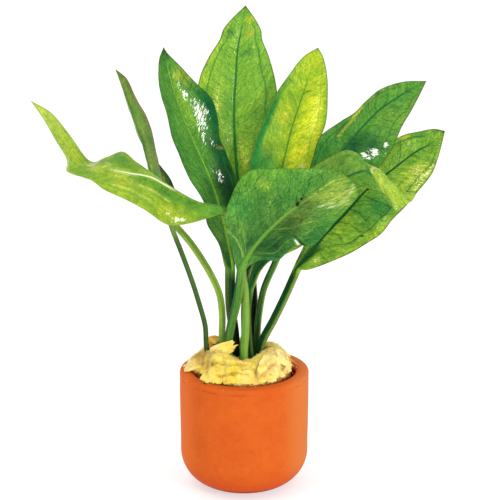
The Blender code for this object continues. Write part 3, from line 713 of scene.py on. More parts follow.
    height = patterns["fine"]
    for groove, depth in ((nets[0], -0.35), (veins, -0.5), (nets[1], -0.18), (nerve, -0.6)):
        height = addNode(tree, "Math", [groove, depth, height], operation="MULTIPLY_ADD")
    sockets = {"Strength": look["relief"], "Distance": 0.0004, "Height": height}
    tree.links.new(addNode(tree, "Bump", sockets), shader.inputs["Normal"])
    dry = addNode(tree, "MapRange", [clouds, 0.3, 0.7, 0.36, 0.52], **smooth)
    roughness = addNode(tree, "Math", [read["wet"], -0.3, dry], operation="MULTIPLY_ADD")
    roughness = addNode(tree, "Math", [roughness, 0.12], operation="MAXIMUM")
    tree.links.new(roughness, shader.inputs["Roughness"])
    coat = addNode(tree, "Math", [read["wet"], 0.4, look["coat"]], operation="MULTIPLY_ADD")
    coat = addNode(tree, "Math", [coat, 1.0], operation="MINIMUM")
    tree.links.new(coat, shader.inputs["Coat Weight"])
    shader.inputs["Specular IOR Level"].default_value = 0.1
    shader.inputs["Coat Roughness"].default_value = 0.08
    shader.inputs["Subsurface Weight"].default_value = 0.1
    shader.inputs["Subsurface Radius"].default_value = (0.4, 1.0, 0.2)
    shader.inputs["Subsurface Scale"].default_value = 0.0006
    return material


# Each leaf's looks. "seen" is the side that its zones and lines are on, those in "allRound" are on
# both. A zone is a colour, its middle as (across, along), how far it reaches each way, 0 for all the
# way, its strength, and for some how sharply it ends. A line is a colour, its points, half its width
# in mm and its strength. Wet places are zones with no colour; the painted glints are zones too, where
# white highlights are painted on. Dead spots are places and radii in mm. "tone" is how light the whole
# leaf is.
plainLook = {
    "slot": "leaf_mid_green", "seen": "upper", "seed": 1.0, "tone": 0.85, "upper": "#7FA93B",
    "under": "#86A650", "zones": [], "allRound": [], "lines": [], "wet": [], "paintedGlint": [], "spots": [],
    "stalk": "#3F7A33", "stalkShade": "#1F5A28", "stalkSide": 1, "stalkFootShade": "#0A3014", "footShadeFrom": 22,
    "stalkRimLight": 0.35, "ribWide": 1.0, "ribDrift": [(0, 0), (1, 0)], "ribFrom": (-6, 2),
    "ribTo": (0.82, 1.0), "rib": 0.95, "ribUpper": "#1F6A33", "ribUnder": "#8DB35A", "nerve": 0.65,
    "nerveColor": "#2C6F38", "edge": 0.75, "edgeColor": "#33501A", "wave": 0.3, "waveLength": 17,
    "mottle": 0.4, "shade": 0.45, "streak": 0.2, "grain": 0.6, "cells": 0.3, "speck": 0.4, "net": 0.4,
    "cross": 0.65, "pale": (1.6, 1.3, 1.3), "deep": (0.42, 0.64, 0.6), "glintColor": "#FBFDF2",
    "glintScale": 0.75, "relief": 0.6, "coat": 0.03,
}
leafLooks = {
    "leaf_back_tall": {
        "tone": 1.08, "upper": "#78A83C", "under": "#8AA956",
        "zones": [
            ("#A2C23C", (-0.9, 0.65), (0.22, 0.2), 0.7),
            ("#90BB42", (0.5, 0.62), (0.3, 0.14), 0.5),
            ("#6AA23E", (-0.12, 0.5), (0.14, 0.16), 0.6),
            ("#AFC640", (-0.46, 0.56), (0.12, 0.1), 0.6),
            ("#B2BC36", (0.56, 0.93), (0.2, 0.02), 0.8),
            ("#B8B03A", (0.5, 0.865), (0.13, 0.018), 0.8),
            ("#C6C23E", (0.88, 0.93), (0.12, 0.015), 0.7),
            ("#2F6B2C", (-0.55, 0.865), (0.25, 0.014), 0.8),
            ("#3E7D3A", (0.35, 0.785), (0.24, 0.02), 0.8),
            ("#7E9C38", (-0.32, 0.38), (0.22, 0.05), 0.6),
            ("#B0C43C", (0.24, 0.32), (0.13, 0.08), 0.9),
            ("#3F8A40", (0.8, 0.48), (0.14, 0.1), 0.7),
            ("#47661C", (0, 1.0), (0, 0.016), 0.9),
        ],
        "wet": [((-0.46, 0.6), (0.14, 0.09), 0.4)],
        "paintedGlint": [
            ((-0.47, 0.56), (0.1, 0.08), 0.7), ((0.14, 0.4), (0.06, 0.07), 0.7),
            ((0.3, 0.31), (0.12, 0.05), 0.75), ((0.62, 0.8), (0.06, 0.02), 0.6),
            ((-0.3, 0.45), (0.12, 0.04), 0.55),
        ],
        "stalk": "#0F3F1A", "stalkShade": "#062A10", "stalkFootShade": "#03180A", "footShadeFrom": 12,
        "ribWide": 1.2, "ribDrift": [(0, 0), (0.62, 0), (0.8, 0.04), (0.94, 0.12), (1, 0)],
        "nerve": 0.6, "wave": 0.35, "mottle": 0.25, "shade": 0.3, "grain": 0.45, "speck": 0.5,
        "glintColor": "#EEF09A", "glintScale": 1.6,
    },
    "leaf_left_upright": {
        "slot": "leaf_dark_green", "seed": 2.4, "tone": 1.06, "upper": "#4F8A38", "under": "#6E9A4C",
        "zones": [
            ("#5C963E", (-0.4, 0.6), (0.3, 0.3), 0.5),
            ("#2F7A3A", (-0.36, 0.4), (0.14, 0.1), 0.7),
            ("#3E7A35", (-0.95, 0.5), (0.12, 0.4), 0.6),
            ("#8FB83F", (0.2, 0.72), (0.2, 0.12), 0.7),
            ("#96A636", (0.72, 0.85), (0.34, 0.045), 0.8),
            ("#B2C256", (0.3, 0.865), (0.16, 0.02), 0.7),
            # painted shade: the right half dark where it folds away from the light and lies shaded under
            # the leaves in front
            ("#025C30", (0.9, 0.66), (0.27, 0.13), 1.0, 4),
            ("#03522A", (0.8, 0.47), (0.45, 0.1), 1.0, 4),
            ("#023A1A", (0.6, 0.34), (0.5, 0.11), 1.0, 4),
            ("#5C9641", (-0.2, 0.16), (0.6, 0.08), 0.6),
            ("#0C4422", (0, 0.0), (0, 0.11), 0.95),
            ("#2C5A1C", (0, 0.985), (0, 0.03), 0.9),
        ],
        "lines": [
            ("#A08A3C", [(0.72, 0.515), (0.98, 0.5)], 0.5, 0.8),
        ],
        "wet": [
            ((0.42, 0.7), (0.16, 0.1), 1.1), ((0.36, 0.79), (0.12, 0.02), 1.0),
            ((0.58, 0.56), (0.16, 0.04), 1.0), ((0.38, 0.42), (0.16, 0.06), 1.2),
        ],
        "paintedGlint": [
            ((0.46, 0.7), (0.17, 0.06), 0.9), ((0.45, 0.63), (0.13, 0.045), 0.9),
            ((0.33, 0.78), (0.1, 0.02), 1.1), ((0.7, 0.67), (0.09, 0.03), 0.85),
            ((0.32, 0.57), (0.1, 0.03), 0.9), ((0.62, 0.54), (0.07, 0.018), 1.1),
            ((0.36, 0.4), (0.12, 0.035), 1.0),
        ],
        "stalk": "#0C3F1E", "stalkShade": "#032A12", "stalkFootShade": "#052312", "footShadeFrom": 14,
        "stalkRimLight": 0.15, "ribWide": 1.35,
        "ribDrift": [
            (0, 0), (0.15, -0.02), (0.3, -0.06), (0.45, -0.08), (0.7, -0.1), (0.85, -0.03), (1, 0),
        ],
        "rib": 0.85, "ribUpper": "#8CBF42", "nerve": 0.4, "nerveColor": "#2A6A30",
        "edgeColor": "#2F4F1C", "mottle": 0.3, "speck": 0.3, "cross": 0.5, "glintScale": 0.9,
        "relief": 0.85, "coat": 0.0,
    },
    "leaf_right_upright": {
        "slot": "leaf_yellow_green", "seed": 3.7, "tone": 1.03, "upper": "#93B52F", "under": "#9FB54A",
        "zones": [
            ("#DCE430", (0.56, 0.53), (0.42, 0.26), 0.95, 3),
            ("#DCE466", (0.66, 0.62), (0.14, 0.16), 0.5),
            ("#CFC636", (-0.38, 0.6), (0.18, 0.05), 0.6),
            ("#A9BC2E", (0, 0.93), (0, 0.07), 0.6),
            ("#76A844", (-0.6, 0.53), (0.22, 0.05), 0.75),
            ("#167A38", (-1.0, 0.5), (0.24, 0.26), 1.0, 5),
            ("#55933A", (-0.85, 0.77), (0.2, 0.02), 0.7),
            ("#257F38", (-0.78, 0.31), (0.42, 0.11), 1.0, 3),
            ("#4C9640", (-0.4, 0.32), (0.3, 0.07), 0.8),
            ("#84AC36", (0.95, 0.72), (0.12, 0.16), 0.85),
            ("#76842E", (0, 1.0), (0, 0.014), 0.8),
        ],
        "lines": [
            ("#4F8A34", [(0.03, 0.745), (0.15, 0.758), (0.34, 0.762)], 0.35, 0.85),
            ("#6A9A38", [(0.03, 0.52), (0.3, 0.56), (0.6, 0.6)], 0.3, 0.6),
            ("#6A9A38", [(-0.03, 0.66), (-0.3, 0.71), (-0.55, 0.73)], 0.3, 0.6),
            ("#7FA83A", [(0.03, 0.62), (0.25, 0.65), (0.5, 0.66)], 0.3, 0.5),
        ],
        "wet": [((0.7, 0.365), (0.18, 0.03), 1.0)],
        "paintedGlint": [
            ((0.7, 0.368), (0.12, 0.013), 1.0), ((0.45, 0.38), (0.1, 0.008), 0.6),
            ((0.1, 0.36), (0.08, 0.03), 0.4),
        ],
        "stalk": "#14441F", "stalkShade": "#062C14", "stalkFootShade": "#03180A", "footShadeFrom": 14,
        "ribWide": 0.8, "ribDrift": [(0, 0), (0.6, 0.01), (0.85, 0.04), (1, 0)], "ribTo": (0.72, 0.95),
        "rib": 0.9, "ribUpper": "#4A8630", "nerve": 0.3, "nerveColor": "#6F9A36",
        "edgeColor": "#5F7026", "mottle": 0.3, "shade": 0.3, "grain": 0.5, "speck": 0.45, "net": 0.2,
        "cross": 0.45, "glintColor": "#F6F6B4", "coat": 0.01,
    },
    "leaf_front": {
        "slot": "leaf_dark_green", "seen": "under", "seed": 4.3, "tone": 1.09, "upper": "#42803A",
        "under": "#4A8638",
        "zones": [
            ("#6AA23C", (0.9, 0.6), (0.2, 0.35), 0.8),
            ("#43964A", (0.75, 0.35), (0.3, 0.1), 0.6),
            ("#2F6F34", (0.25, 0.24), (0.22, 0.09), 0.8),
            ("#2C6A3A", (0.5, 0.12), (0.5, 0.04), 0.6),
            ("#86B03C", (0.62, 0.555), (0.2, 0.035), 0.7),
            ("#487C36", (0.25, 0.42), (0.2, 0.15), 0.6),
            ("#5A702E", (-0.28, 0.56), (0.28, 0.14), 0.95),
            ("#345E28", (-0.35, 0.44), (0.3, 0.1), 0.9),
            # painted shade: the lower near half darkest, where it lies in shade
            ("#1A5026", (-0.6, 0.29), (0.45, 0.12), 1.0),
            ("#123F1C", (-0.2, 0.2), (0.16, 0.09), 0.85),
            ("#2A6E40", (-0.85, 0.2), (0.2, 0.05), 0.7),
            ("#286A34", (-0.9, 0.52), (0.2, 0.08), 0.7),
            ("#1C5430", (0.12, 0.2), (0.1, 0.05), 0.8),
            ("#678F3C", (0.55, 0.24), (0.3, 0.05), 0.7),
            ("#9AB24A", (-0.4, 0.84), (0.38, 0.1), 0.9, 3),
            ("#86AA40", (-0.85, 0.8), (0.2, 0.1), 0.8),
            ("#7FAE44", (0.35, 0.93), (0.5, 0.05), 0.6),
            ("#6B7434", (-0.1, 0.72), (0.14, 0.04), 0.7),
            ("#7C9A3A", (-0.5, 0.97), (0.5, 0.02), 0.7),
        ],
        "lines": [
            # painted sheen: pale streaks where the bend near the tip catches the light
            ("#C8D08C", [(-0.9, 0.91), (-0.8, 0.84), (-0.74, 0.79)], 0.6, 0.6),
            ("#D0D8A0", [(-0.84, 0.8), (-0.76, 0.75), (-0.62, 0.725)], 0.6, 0.6),
            ("#D8DEB4", [(-0.62, 0.76), (-0.5, 0.74), (-0.42, 0.71)], 0.45, 0.7),
            ("#C2CE88", [(-0.7, 0.87), (-0.6, 0.82), (-0.54, 0.78)], 0.4, 0.6),
            ("#BAC86A", [(-0.5, 0.9), (-0.36, 0.85), (-0.25, 0.8)], 0.35, 0.5),
            ("#93A64A", [(0.0, 0.7), (-0.03, 0.78), (0.0, 0.86)], 0.35, 0.6),
            ("#A9C856", [(0.02, 0.84), (0.03, 0.93)], 0.4, 0.7),
            ("#8FB35A", [(0.1, 0.1), (0.35, 0.135), (0.65, 0.17), (0.95, 0.2)], 0.4, 0.8),
            ("#7BA64C", [(0.1, 0.14), (0.3, 0.2), (0.55, 0.29)], 0.3, 0.6),
            ("#7BA64C", [(0.08, 0.42), (0.3, 0.5), (0.45, 0.6)], 0.3, 0.5),
            ("#79A04A", [(-0.12, 0.4), (-0.4, 0.5), (-0.65, 0.62)], 0.3, 0.5),
            ("#1C4A22", [(-0.25, 0.2), (-0.5, 0.26), (-0.75, 0.36)], 0.4, 0.7),
            ("#1C4A22", [(-0.3, 0.14), (-0.6, 0.18), (-0.9, 0.27)], 0.4, 0.6),
            ("#0F3418", [(-0.62, 0.45), (-0.8, 0.44), (-0.97, 0.435)], 0.7, 0.9),
            # painted highlight: a white streak of light along the fold of the margin
            ("#FBFCF4", [(-0.76, 0.424), (-0.88, 0.412), (-1.0, 0.402)], 0.55, 1.0),
        ],
        "spots": [
            ((19.6, -27.2, 119.4), 0.8), ((20.9, -27.2, 121.4), 0.5), ((26.8, -29.0, 124.2), 0.35),
            ((23.6, -28.4, 122.2), 0.2),
        ],
        "stalk": "#3A7234", "stalkShade": "#1A4F24", "stalkFootShade": "#2A642C", "footShadeFrom": 30,
        "stalkRimLight": 0.2, "ribWide": 1.2,
        "ribDrift": [
            (0, -0.3), (0.05, -0.25), (0.12, -0.16), (0.2, -0.08), (0.55, -0.05), (0.64, 0), (1, 0.03),
        ],
        "ribFrom": (-12, 12, 0.3), "ribTo": (0.63, 0.69), "rib": 0.68, "ribUpper": "#2E6B33",
        "ribUnder": "#74A840", "nerve": 0.35, "nerveColor": "#6FA44A", "edge": 0.4,
        "edgeColor": "#3F7A34", "wave": 0.2, "mottle": 0.5, "streak": 0.7, "cells": 0.35, "speck": 0.25,
        "net": 0.35, "cross": 0.9, "relief": 0.9, "coat": 0.02,
    },
    "leaf_left_drooping": {
        "slot": "leaf_yellow_green", "seed": 5.9, "tone": 0.8, "upper": "#8CB236", "under": "#9FB850",
        "zones": [
            ("#5FA040", (0, 0.05), (0, 0.1), 0.95, 3),
            ("#1A5220", (0, -0.01), (0, 0.03), 0.95),
            ("#B9CC3A", (-0.72, 0.28), (0.2, 0.07), 0.8),
            ("#A6C63C", (-0.9, 0.45), (0.15, 0.12), 0.5),
            ("#5C9C38", (-0.3, 0.17), (0.3, 0.07), 0.7),
            ("#4C9030", (-0.25, 0.3), (0.16, 0.16), 0.85),
            ("#A9C23C", (-0.35, 0.53), (0.25, 0.06), 0.6),
            ("#4C9234", (0.5, 0.52), (0.35, 0.055), 0.9),
            ("#629E36", (-0.7, 0.68), (0.4, 0.04), 0.7),
            ("#D6DCA0", (0.3, 0.635), (0.4, 0.022), 0.85),
            ("#B0C63C", (-0.15, 0.6), (0.2, 0.03), 0.6),
            ("#9FBC30", (-0.1, 0.82), (0.5, 0.06), 0.7),
            ("#B9CE3A", (0.2, 0.76), (0.4, 0.03), 0.7),
            ("#8AA22A", (0.1, 0.89), (0.4, 0.015), 0.7),
            ("#BCD044", (0, 0.95), (0, 0.04), 0.8),
            ("#E6EEC0", (-1.0, 0.9), (0.14, 0.06), 0.9),
            ("#F0F4DC", (-0.9, 0.745), (0.24, 0.012), 0.95),
        ],
        "allRound": [
            ("#CFE06E", (0, 1.0), (0, 0.2), 0.65),
        ],
        "lines": [
            ("#4F9634", [(-0.1, 0.16), (-0.16, 0.3), (-0.2, 0.46)], 0.5, 0.7),
            ("#DCE8A8", [(-0.15, 0.46), (-0.17, 0.52), (-0.2, 0.58)], 0.3, 0.8),
            ("#DCE6B0", [(0.05, 0.66), (0.4, 0.63), (0.8, 0.61)], 0.6, 0.7),
            ("#CAD880", [(-0.45, 0.5), (-0.4, 0.4), (-0.42, 0.3)], 0.35, 0.6),
            ("#C8D676", [(-0.7, 0.56), (-0.66, 0.48), (-0.7, 0.4)], 0.35, 0.6),
            ("#D6E08C", [(0.3, 0.58), (0.1, 0.57), (-0.1, 0.6)], 0.35, 0.6),
        ],
        "wet": [((-0.8, 0.25), (0.2, 0.04), 0.8)],
        "paintedGlint": [
            ((-0.84, 0.255), (0.1, 0.02), 1.05), ((-0.78, 0.225), (0.1, 0.013), 0.85),
            ((-0.72, 0.3), (0.08, 0.016), 0.6), ((-0.62, 0.33), (0.1, 0.02), 0.45),
            ((-0.35, 0.54), (0.06, 0.03), 0.4),
        ],
        "stalk": "#6CA446", "stalkShade": "#2F7030", "stalkFootShade": "#5C9A40", "footShadeFrom": 50,
        "ribWide": 0.8,
        "ribDrift": [(0, 0.03), (0.12, 0.02), (0.3, -0.03), (0.45, -0.08), (0.6, -0.16), (1, 0)],
        "ribFrom": (23, 30), "ribTo": (0.5, 0.6), "rib": 1.0, "ribUpper": "#EEF4D4", "nerve": 0.35,
        "nerveColor": "#6FA63C", "edgeColor": "#9FB04A", "wave": 0.25, "mottle": 0.45, "streak": 0.5,
        "grain": 0.45, "cells": 0.15, "speck": 0.2, "net": 0.1, "cross": 0.25, "glintColor": "#FAFAD8",
        "relief": 0.5,
    },
    "leaf_right_upper": {
        "slot": "leaf_dark_green", "seed": 6.6, "tone": 0.8, "upper": "#5A9E3E", "under": "#7FA652",
        "zones": [
            ("#74AA40", (-0.8, 0.8), (0.4, 0.15), 0.7),
            ("#3F9A4A", (-0.8, 0.36), (0.3, 0.06), 0.7),
            ("#3F8E44", (-0.55, 0.46), (0.25, 0.08), 0.6),
            ("#0B5A36", (0.14, 0.51), (0.22, 0.06), 0.95),
            ("#0F6038", (0.5, 0.57), (0.3, 0.06), 0.85),
            ("#7FAC42", (0.3, 0.72), (0.25, 0.06), 0.7),
            ("#84AE42", (0.75, 0.8), (0.3, 0.12), 0.65),
            ("#3F6A1C", (0, 1.0), (0, 0.016), 0.9),
        ],
        "lines": [
            ("#C6CE44", [(-0.95, 0.665), (-0.82, 0.625), (-0.66, 0.56), (-0.5, 0.5)], 0.6, 1.0),
            ("#2F7A3A", [(-0.86, 0.6), (-0.7, 0.545), (-0.55, 0.48)], 0.5, 0.7),
        ],
        "wet": [((0.54, 0.52), (0.1, 0.02), 1.2), ((0.68, 0.555), (0.1, 0.02), 1.2)],
        "paintedGlint": [
            ((0.5, 0.515), (0.1, 0.018), 1.5), ((0.66, 0.555), (0.11, 0.02), 1.5),
            ((0.78, 0.615), (0.07, 0.012), 1.5), ((0.7, 0.52), (0.1, 0.014), 0.6),
            ((0.9, 0.58), (0.06, 0.02), 0.6),
        ],
        "stalk": "#4F8640", "stalkShade": "#0F3A18", "stalkSide": -1, "stalkFootShade": "#2A5C2A",
        "stalkRimLight": 0.6, "ribWide": 1.3,
        "ribDrift": [(0, 0), (0.5, 0.03), (0.6, -0.04), (0.72, 0), (0.82, 0.05), (1, 0)], "rib": 0.9,
        "ribUpper": "#1A6636", "nerve": 0.5, "nerveColor": "#2A7238", "edgeColor": "#5F5A26",
        "relief": 0.75,
    },
    "leaf_right_arching": {
        "seed": 7.2, "upper": "#6FA23D", "under": "#98B052",
        "zones": [
            ("#A2C448", (0, 0.92), (0, 0.115), 0.95, 8),
            ("#B4CA54", (0.5, 0.86), (0.4, 0.03), 0.5),
            ("#93B83C", (0.4, 0.93), (0.4, 0.02), 0.6),
            ("#4FA046", (-0.95, 0.755), (0.18, 0.025), 0.8),
            ("#4F9C3C", (0.15, 0.755), (0.3, 0.03), 0.6),
            ("#86A444", (-0.8, 0.63), (0.2, 0.03), 0.5),
            ("#24602C", (0, 0.1), (0, 0.17), 0.95, 4),
            # painted highlight: the lit left margin near the base
            ("#D9E070", (-0.95, 0.07), (0.14, 0.03), 0.9),
            ("#93AC3C", (0.9, 0.28), (0.25, 0.08), 0.8),
        ],
        "lines": [
            ("#D6DC98", [(-0.98, 0.84), (-0.7, 0.81), (-0.35, 0.8), (-0.05, 0.805)], 0.45, 0.85),
            ("#D3D96C", [(-0.05, 0.85), (0.3, 0.83), (0.7, 0.815), (0.98, 0.81)], 0.5, 0.8),
            ("#2F7A36", [(-0.8, 0.785), (-0.4, 0.78), (0, 0.79), (0.5, 0.79)], 0.6, 0.6),
            ("#8FB446", [(-0.6, 0.9), (-0.2, 0.88), (0.2, 0.9)], 0.4, 0.6),
        ],
        "paintedGlint": [((0.1, 0.975), (0.4, 0.012), 0.6), ((0.85, 0.9), (0.15, 0.02), 0.7)],
        "stalk": "#346C30", "stalkShade": "#1F5228", "stalkFootShade": "#0F331A", "stalkRimLight": 0.1,
        "ribWide": 1.6, "ribDrift": [(0, 0), (0.7, 0.02), (0.78, -0.02), (1, 0)], "ribTo": (0.75, 0.8),
        "rib": 0.9, "ribUpper": "#1C6E3A", "nerve": 0.3, "edge": 0.3, "edgeColor": "#A3AE52",
        "mottle": 0.35, "streak": 0.3, "speck": 0.3, "net": 0.12, "cross": 0.3, "relief": 0.5,
    },
    "leaf_right_lower": {
        "seed": 8.8, "tone": 0.9, "upper": "#7FAE3A", "under": "#8CAA55",
        "zones": [
            ("#33883E", (0.5, 0.49), (0.4, 0.065), 0.95),
            ("#4A9A42", (0.3, 0.41), (0.3, 0.04), 0.7),
            ("#93BC3A", (0.3, 0.27), (0.3, 0.09), 0.7),
            ("#A0C038", (0.95, 0.35), (0.12, 0.2), 0.8),
            ("#8DB83A", (0.5, 0.14), (0.4, 0.06), 0.7),
            ("#B9CC42", (0.6, 0.73), (0.28, 0.08), 0.75),
            ("#6FA83C", (0.2, 0.62), (0.25, 0.05), 0.6),
            ("#57A045", (-0.75, 0.86), (0.25, 0.05), 0.7),
            ("#B2BE3A", (-0.92, 0.79), (0.14, 0.025), 0.8),
            ("#4B9A40", (-0.05, 0.84), (0.18, 0.03), 0.7),
            ("#70A83E", (-0.45, 0.72), (0.3, 0.05), 0.6),
            ("#063D1C", (0.16, 0.09), (0.22, 0.075), 1.0, 3),
            ("#2B5A22", (-0.6, 0.04), (0.45, 0.04), 0.8, 4),
            ("#3A5C1A", (0, 1.0), (0, 0.018), 0.9),
            ("#4F7224", (-0.75, 0.965), (0.25, 0.015), 0.7),
        ],
        "lines": [
            ("#23602A", [(0.05, 0.385), (0.25, 0.405), (0.55, 0.4)], 0.28, 0.8),
            ("#2E6C2E", [(0.05, 0.3), (0.3, 0.335), (0.7, 0.35)], 0.25, 0.7),
            ("#2E6C2E", [(0.07, 0.225), (0.3, 0.26), (0.6, 0.25)], 0.25, 0.7),
            ("#2E6C2E", [(0.05, 0.48), (0.35, 0.5), (0.7, 0.53)], 0.25, 0.6),
            ("#2E6C2E", [(0.02, 0.68), (0.35, 0.73), (0.7, 0.75)], 0.25, 0.6),
            ("#2E6C2E", [(-0.02, 0.7), (-0.35, 0.745), (-0.7, 0.76)], 0.25, 0.6),
        ],
        "wet": [((0.8, 0.72), (0.14, 0.1), 0.25)],
        "paintedGlint": [
            ((0.72, 0.75), (0.2, 0.09), 0.58), ((0.88, 0.8), (0.08, 0.08), 0.62),
            ((0.45, 0.75), (0.18, 0.06), 0.5), ((0.62, 0.1), (0.2, 0.03), 0.8),
            ((0.9, 0.68), (0.06, 0.05), 0.75),
        ],
        "spots": [((45.2, 7.2, 97.5), 0.35)],
        "stalk": "#1A5426", "stalkShade": "#06381A", "stalkSide": -1, "stalkFootShade": "#134220",
        "ribWide": 1.1,
        "ribDrift": [(0, 0.2), (0.1, 0.12), (0.2, 0.03), (0.5, -0.02), (0.7, 0), (0.85, -0.04), (1, 0)],
        "rib": 1.0, "ribUpper": "#0F5426", "nerve": 0.6, "nerveColor": "#2A6A2E",
        "edgeColor": "#5A5C20", "grain": 0.4, "cells": 0.5, "net": 0.32, "cross": 0.7,
        "glintColor": "#F0EE88", "glintScale": 1.7, "relief": 0.8, "coat": 0.02,
    },
    "leaf_left_narrow": {
        "slot": "leaf_olive", "seen": "under", "seed": 9.5, "tone": 1.0, "upper": "#4E8A3A",
        "under": "#6C873F",
        "zones": [
            ("#7E7440", (-0.97, 0.55), (0.12, 0.4), 0.8),
            ("#4C8636", (-0.62, 0.56), (0.14, 0.08), 0.8),
            ("#5F9A36", (-0.38, 0.74), (0.14, 0.12), 0.8),
            ("#5C6A28", (-0.72, 0.86), (0.16, 0.08), 0.8),
            ("#7FA23A", (-0.3, 0.5), (0.14, 0.1), 0.6),
            ("#8FB04C", (-0.1, 0.4), (0.1, 0.06), 0.7),
            ("#3C7A38", (-0.1, 0.68), (0.05, 0.14), 0.9),
            ("#9CB24A", (0.6, 0.7), (0.5, 0.12), 0.7),
            ("#4F8A3A", (-0.4, 0.36), (0.5, 0.04), 0.7),
        ],
        "stalk": "#1F5024", "stalkShade": "#0F3A1A", "stalkFootShade": "#082812", "footShadeFrom": 34,
        "stalkRimLight": 0.1, "rib": 0.9, "ribUnder": "#2F6B34", "nerve": 0.3, "edge": 0.8,
        "edgeColor": "#5C4C28", "wave": 0.2, "mottle": 0.35, "streak": 0.8, "cells": 0.05, "speck": 0.2,
        "net": 0.1, "cross": 0.1, "relief": 0.45, "coat": 0.02,
    },
    "leaf_left_small": {
        "slot": "leaf_olive", "seed": 10.3, "upper": "#5F8A3C", "under": "#66883F",
        "zones": [
            ("#82A03E", (0.4, 0.68), (0.2, 0.07), 0.8),
            ("#38581F", (0.9, 0.6), (0.2, 0.3), 0.85),
        ],
        "allRound": [
            ("#C6CE3A", (0, 0.0), (0, 0.03), 0.8),
        ],
        "stalk": "#A6C65A", "stalkShade": "#6C9E42", "stalkFootShade": "#74A84A", "footShadeFrom": 40,
        "stalkRimLight": 0.6, "ribUpper": "#7FA552", "edgeColor": "#4B4826", "wave": 0.2, "mottle": 0.3,
        "streak": 0.6, "speck": 0.1, "net": 0.12, "cross": 0.2, "relief": 0.45, "coat": 0.02,
    },
}

for name, shape in leafShapes.items():
    makeLeaf(name, shape, {**plainLook, **leafLooks[name]})


potMake = {
    # millimetres, but for the counts
    "height": 46.4,
    "rim": 25.0,
    "belly": 24.6,  # where the wall meets the rounded foot
    "foot": 11.0,  # flat underside
    "wall": 5.0,
    "lip": 1.2,
    "innerTaper": 1.0,  # how much narrower the inside is at its floor
    "innerCurve": 9.0,
    "floor": 5.0,
    "sides": 256,
    "bevels": {"foot": 18, "innerCurve": 8, "lip": 7},  # segments
    "wallCuts": 44,
    "tallEdge": 20.0,  # only the wall's own edges are taller
    "lipLine": 44.3,  # height of the fine line under the lip
    "uneven": 0.09,
    "swells": [(14, 1), (5.5, 0.5), (1.8, 0.25)],  # size in mm and share of the unevenness
    # noise patterns of the clay: turns for each metre, detail and roughness
    "patterns": {
        "cloud": (110.0, 4.0, 0.6), "mottle": (420.0, 4.0, 0.65), "grain": (2200.0, 2.0, 0.5),
        "chip": (800.0, 1.0, 0.5),
    },
}


def edgeLoop(mesh, height, radius, spread=0.0004):
    # selects the edges that lie at a height and radius, in metres, in edit mode
    bpy.ops.mesh.select_all(action="DESELECT")
    bpy.ops.object.mode_set(mode="OBJECT")
    bpy.context.tool_settings.mesh_select_mode = (False, True, False)
    for edge in mesh.edges:
        ends = [mesh.vertices[i].co for i in edge.vertices]
        edge.select = all(
            abs(end.z - height) < spread and abs(math.hypot(end.x, end.y) - radius) < spread
            for end in ends
        )
    bpy.ops.object.mode_set(mode="EDIT")


def makePot():
    size, segments = potMake, potMake["bevels"]
    deselectAll()
    height, rim = size["height"] * mm, size["rim"] * mm
    bpy.ops.mesh.primitive_cylinder_add(
        vertices=size["sides"], radius=rim, depth=height, location=(0, 0, height / 2)
    )
    piece = bpy.context.object
    piece.name = "terracotta_pot"
    bpy.ops.object.transform_apply(location=True, rotation=True, scale=True)
    mesh = piece.data
    bpy.ops.object.mode_set(mode="EDIT")
    bpy.ops.mesh.select_mode(type="FACE")
    selectFace(mesh, 1)
    bpy.ops.mesh.inset(thickness=size["wall"] * mm)
    bpy.ops.mesh.extrude_region_move(
        TRANSFORM_OT_translate={"value": (0, 0, (size["floor"] - size["height"]) * mm)}
    )
    mouth = size["rim"] - size["wall"]
    innerFoot = mouth - size["innerTaper"]
    inner = innerFoot / mouth
    bpy.ops.transform.resize(value=(inner, inner, 1))
    selectFace(mesh, -1)
    taper = size["belly"] / size["rim"]
    bpy.ops.transform.resize(value=(taper, taper, 1))
    edgeLoop(mesh, 0, size["belly"] * mm)
    reach = (size["belly"] - size["foot"]) * mm
    bpy.ops.mesh.bevel(offset=reach, segments=segments["foot"], affect="EDGES")
    edgeLoop(mesh, size["floor"] * mm, innerFoot * mm)
    reach = size["innerCurve"] * mm
    bpy.ops.mesh.bevel(offset=reach, segments=segments["innerCurve"], affect="EDGES")
    for radius in (size["rim"], mouth):
        edgeLoop(mesh, height, radius * mm)
        bpy.ops.mesh.bevel(offset=size["lip"] * mm, segments=segments["lip"], affect="EDGES")
    # the tall wall faces are cut into rows, so that the wall can be a little uneven
    bpy.ops.mesh.select_all(action="DESELECT")
    bpy.ops.object.mode_set(mode="OBJECT")
    for edge in mesh.edges:
        low, high = (mesh.vertices[i].co for i in edge.vertices)
        edge.select = abs(low.z - high.z) > size["tallEdge"] * mm
    bpy.ops.object.mode_set(mode="EDIT")
    bpy.ops.mesh.subdivide(number_cuts=size["wallCuts"])
    bpy.ops.object.mode_set(mode="OBJECT")
    uneven = size["uneven"] * mm
    for vertex in mesh.vertices:
        place = vertex.co / mm
        out = Vector((place.x, place.y, 0)).normalized()
        swell = sum(share * noise.noise(place / width) for width, share in size["swells"])
        vertex.co += out * swell * uneven * ease(place.z / 5)
    mesh.update()
    bpy.ops.object.shade_smooth()
    finishPiece(piece, terracotta(), "terracotta", "pot")


def selectFace(mesh, side):
    # the end face that looks up (1) or down (-1), in edit mode
    bpy.ops.mesh.select_all(action="DESELECT")
    bpy.ops.object.mode_set(mode="OBJECT")
    ends = [face for face in mesh.polygons if face.normal.z * side > 0.99]
    for face in mesh.polygons:
        face.select = False
    best = max(ends, key=lambda face: len(face.vertices))
    best.select = True
    bpy.ops.object.mode_set(mode="EDIT")


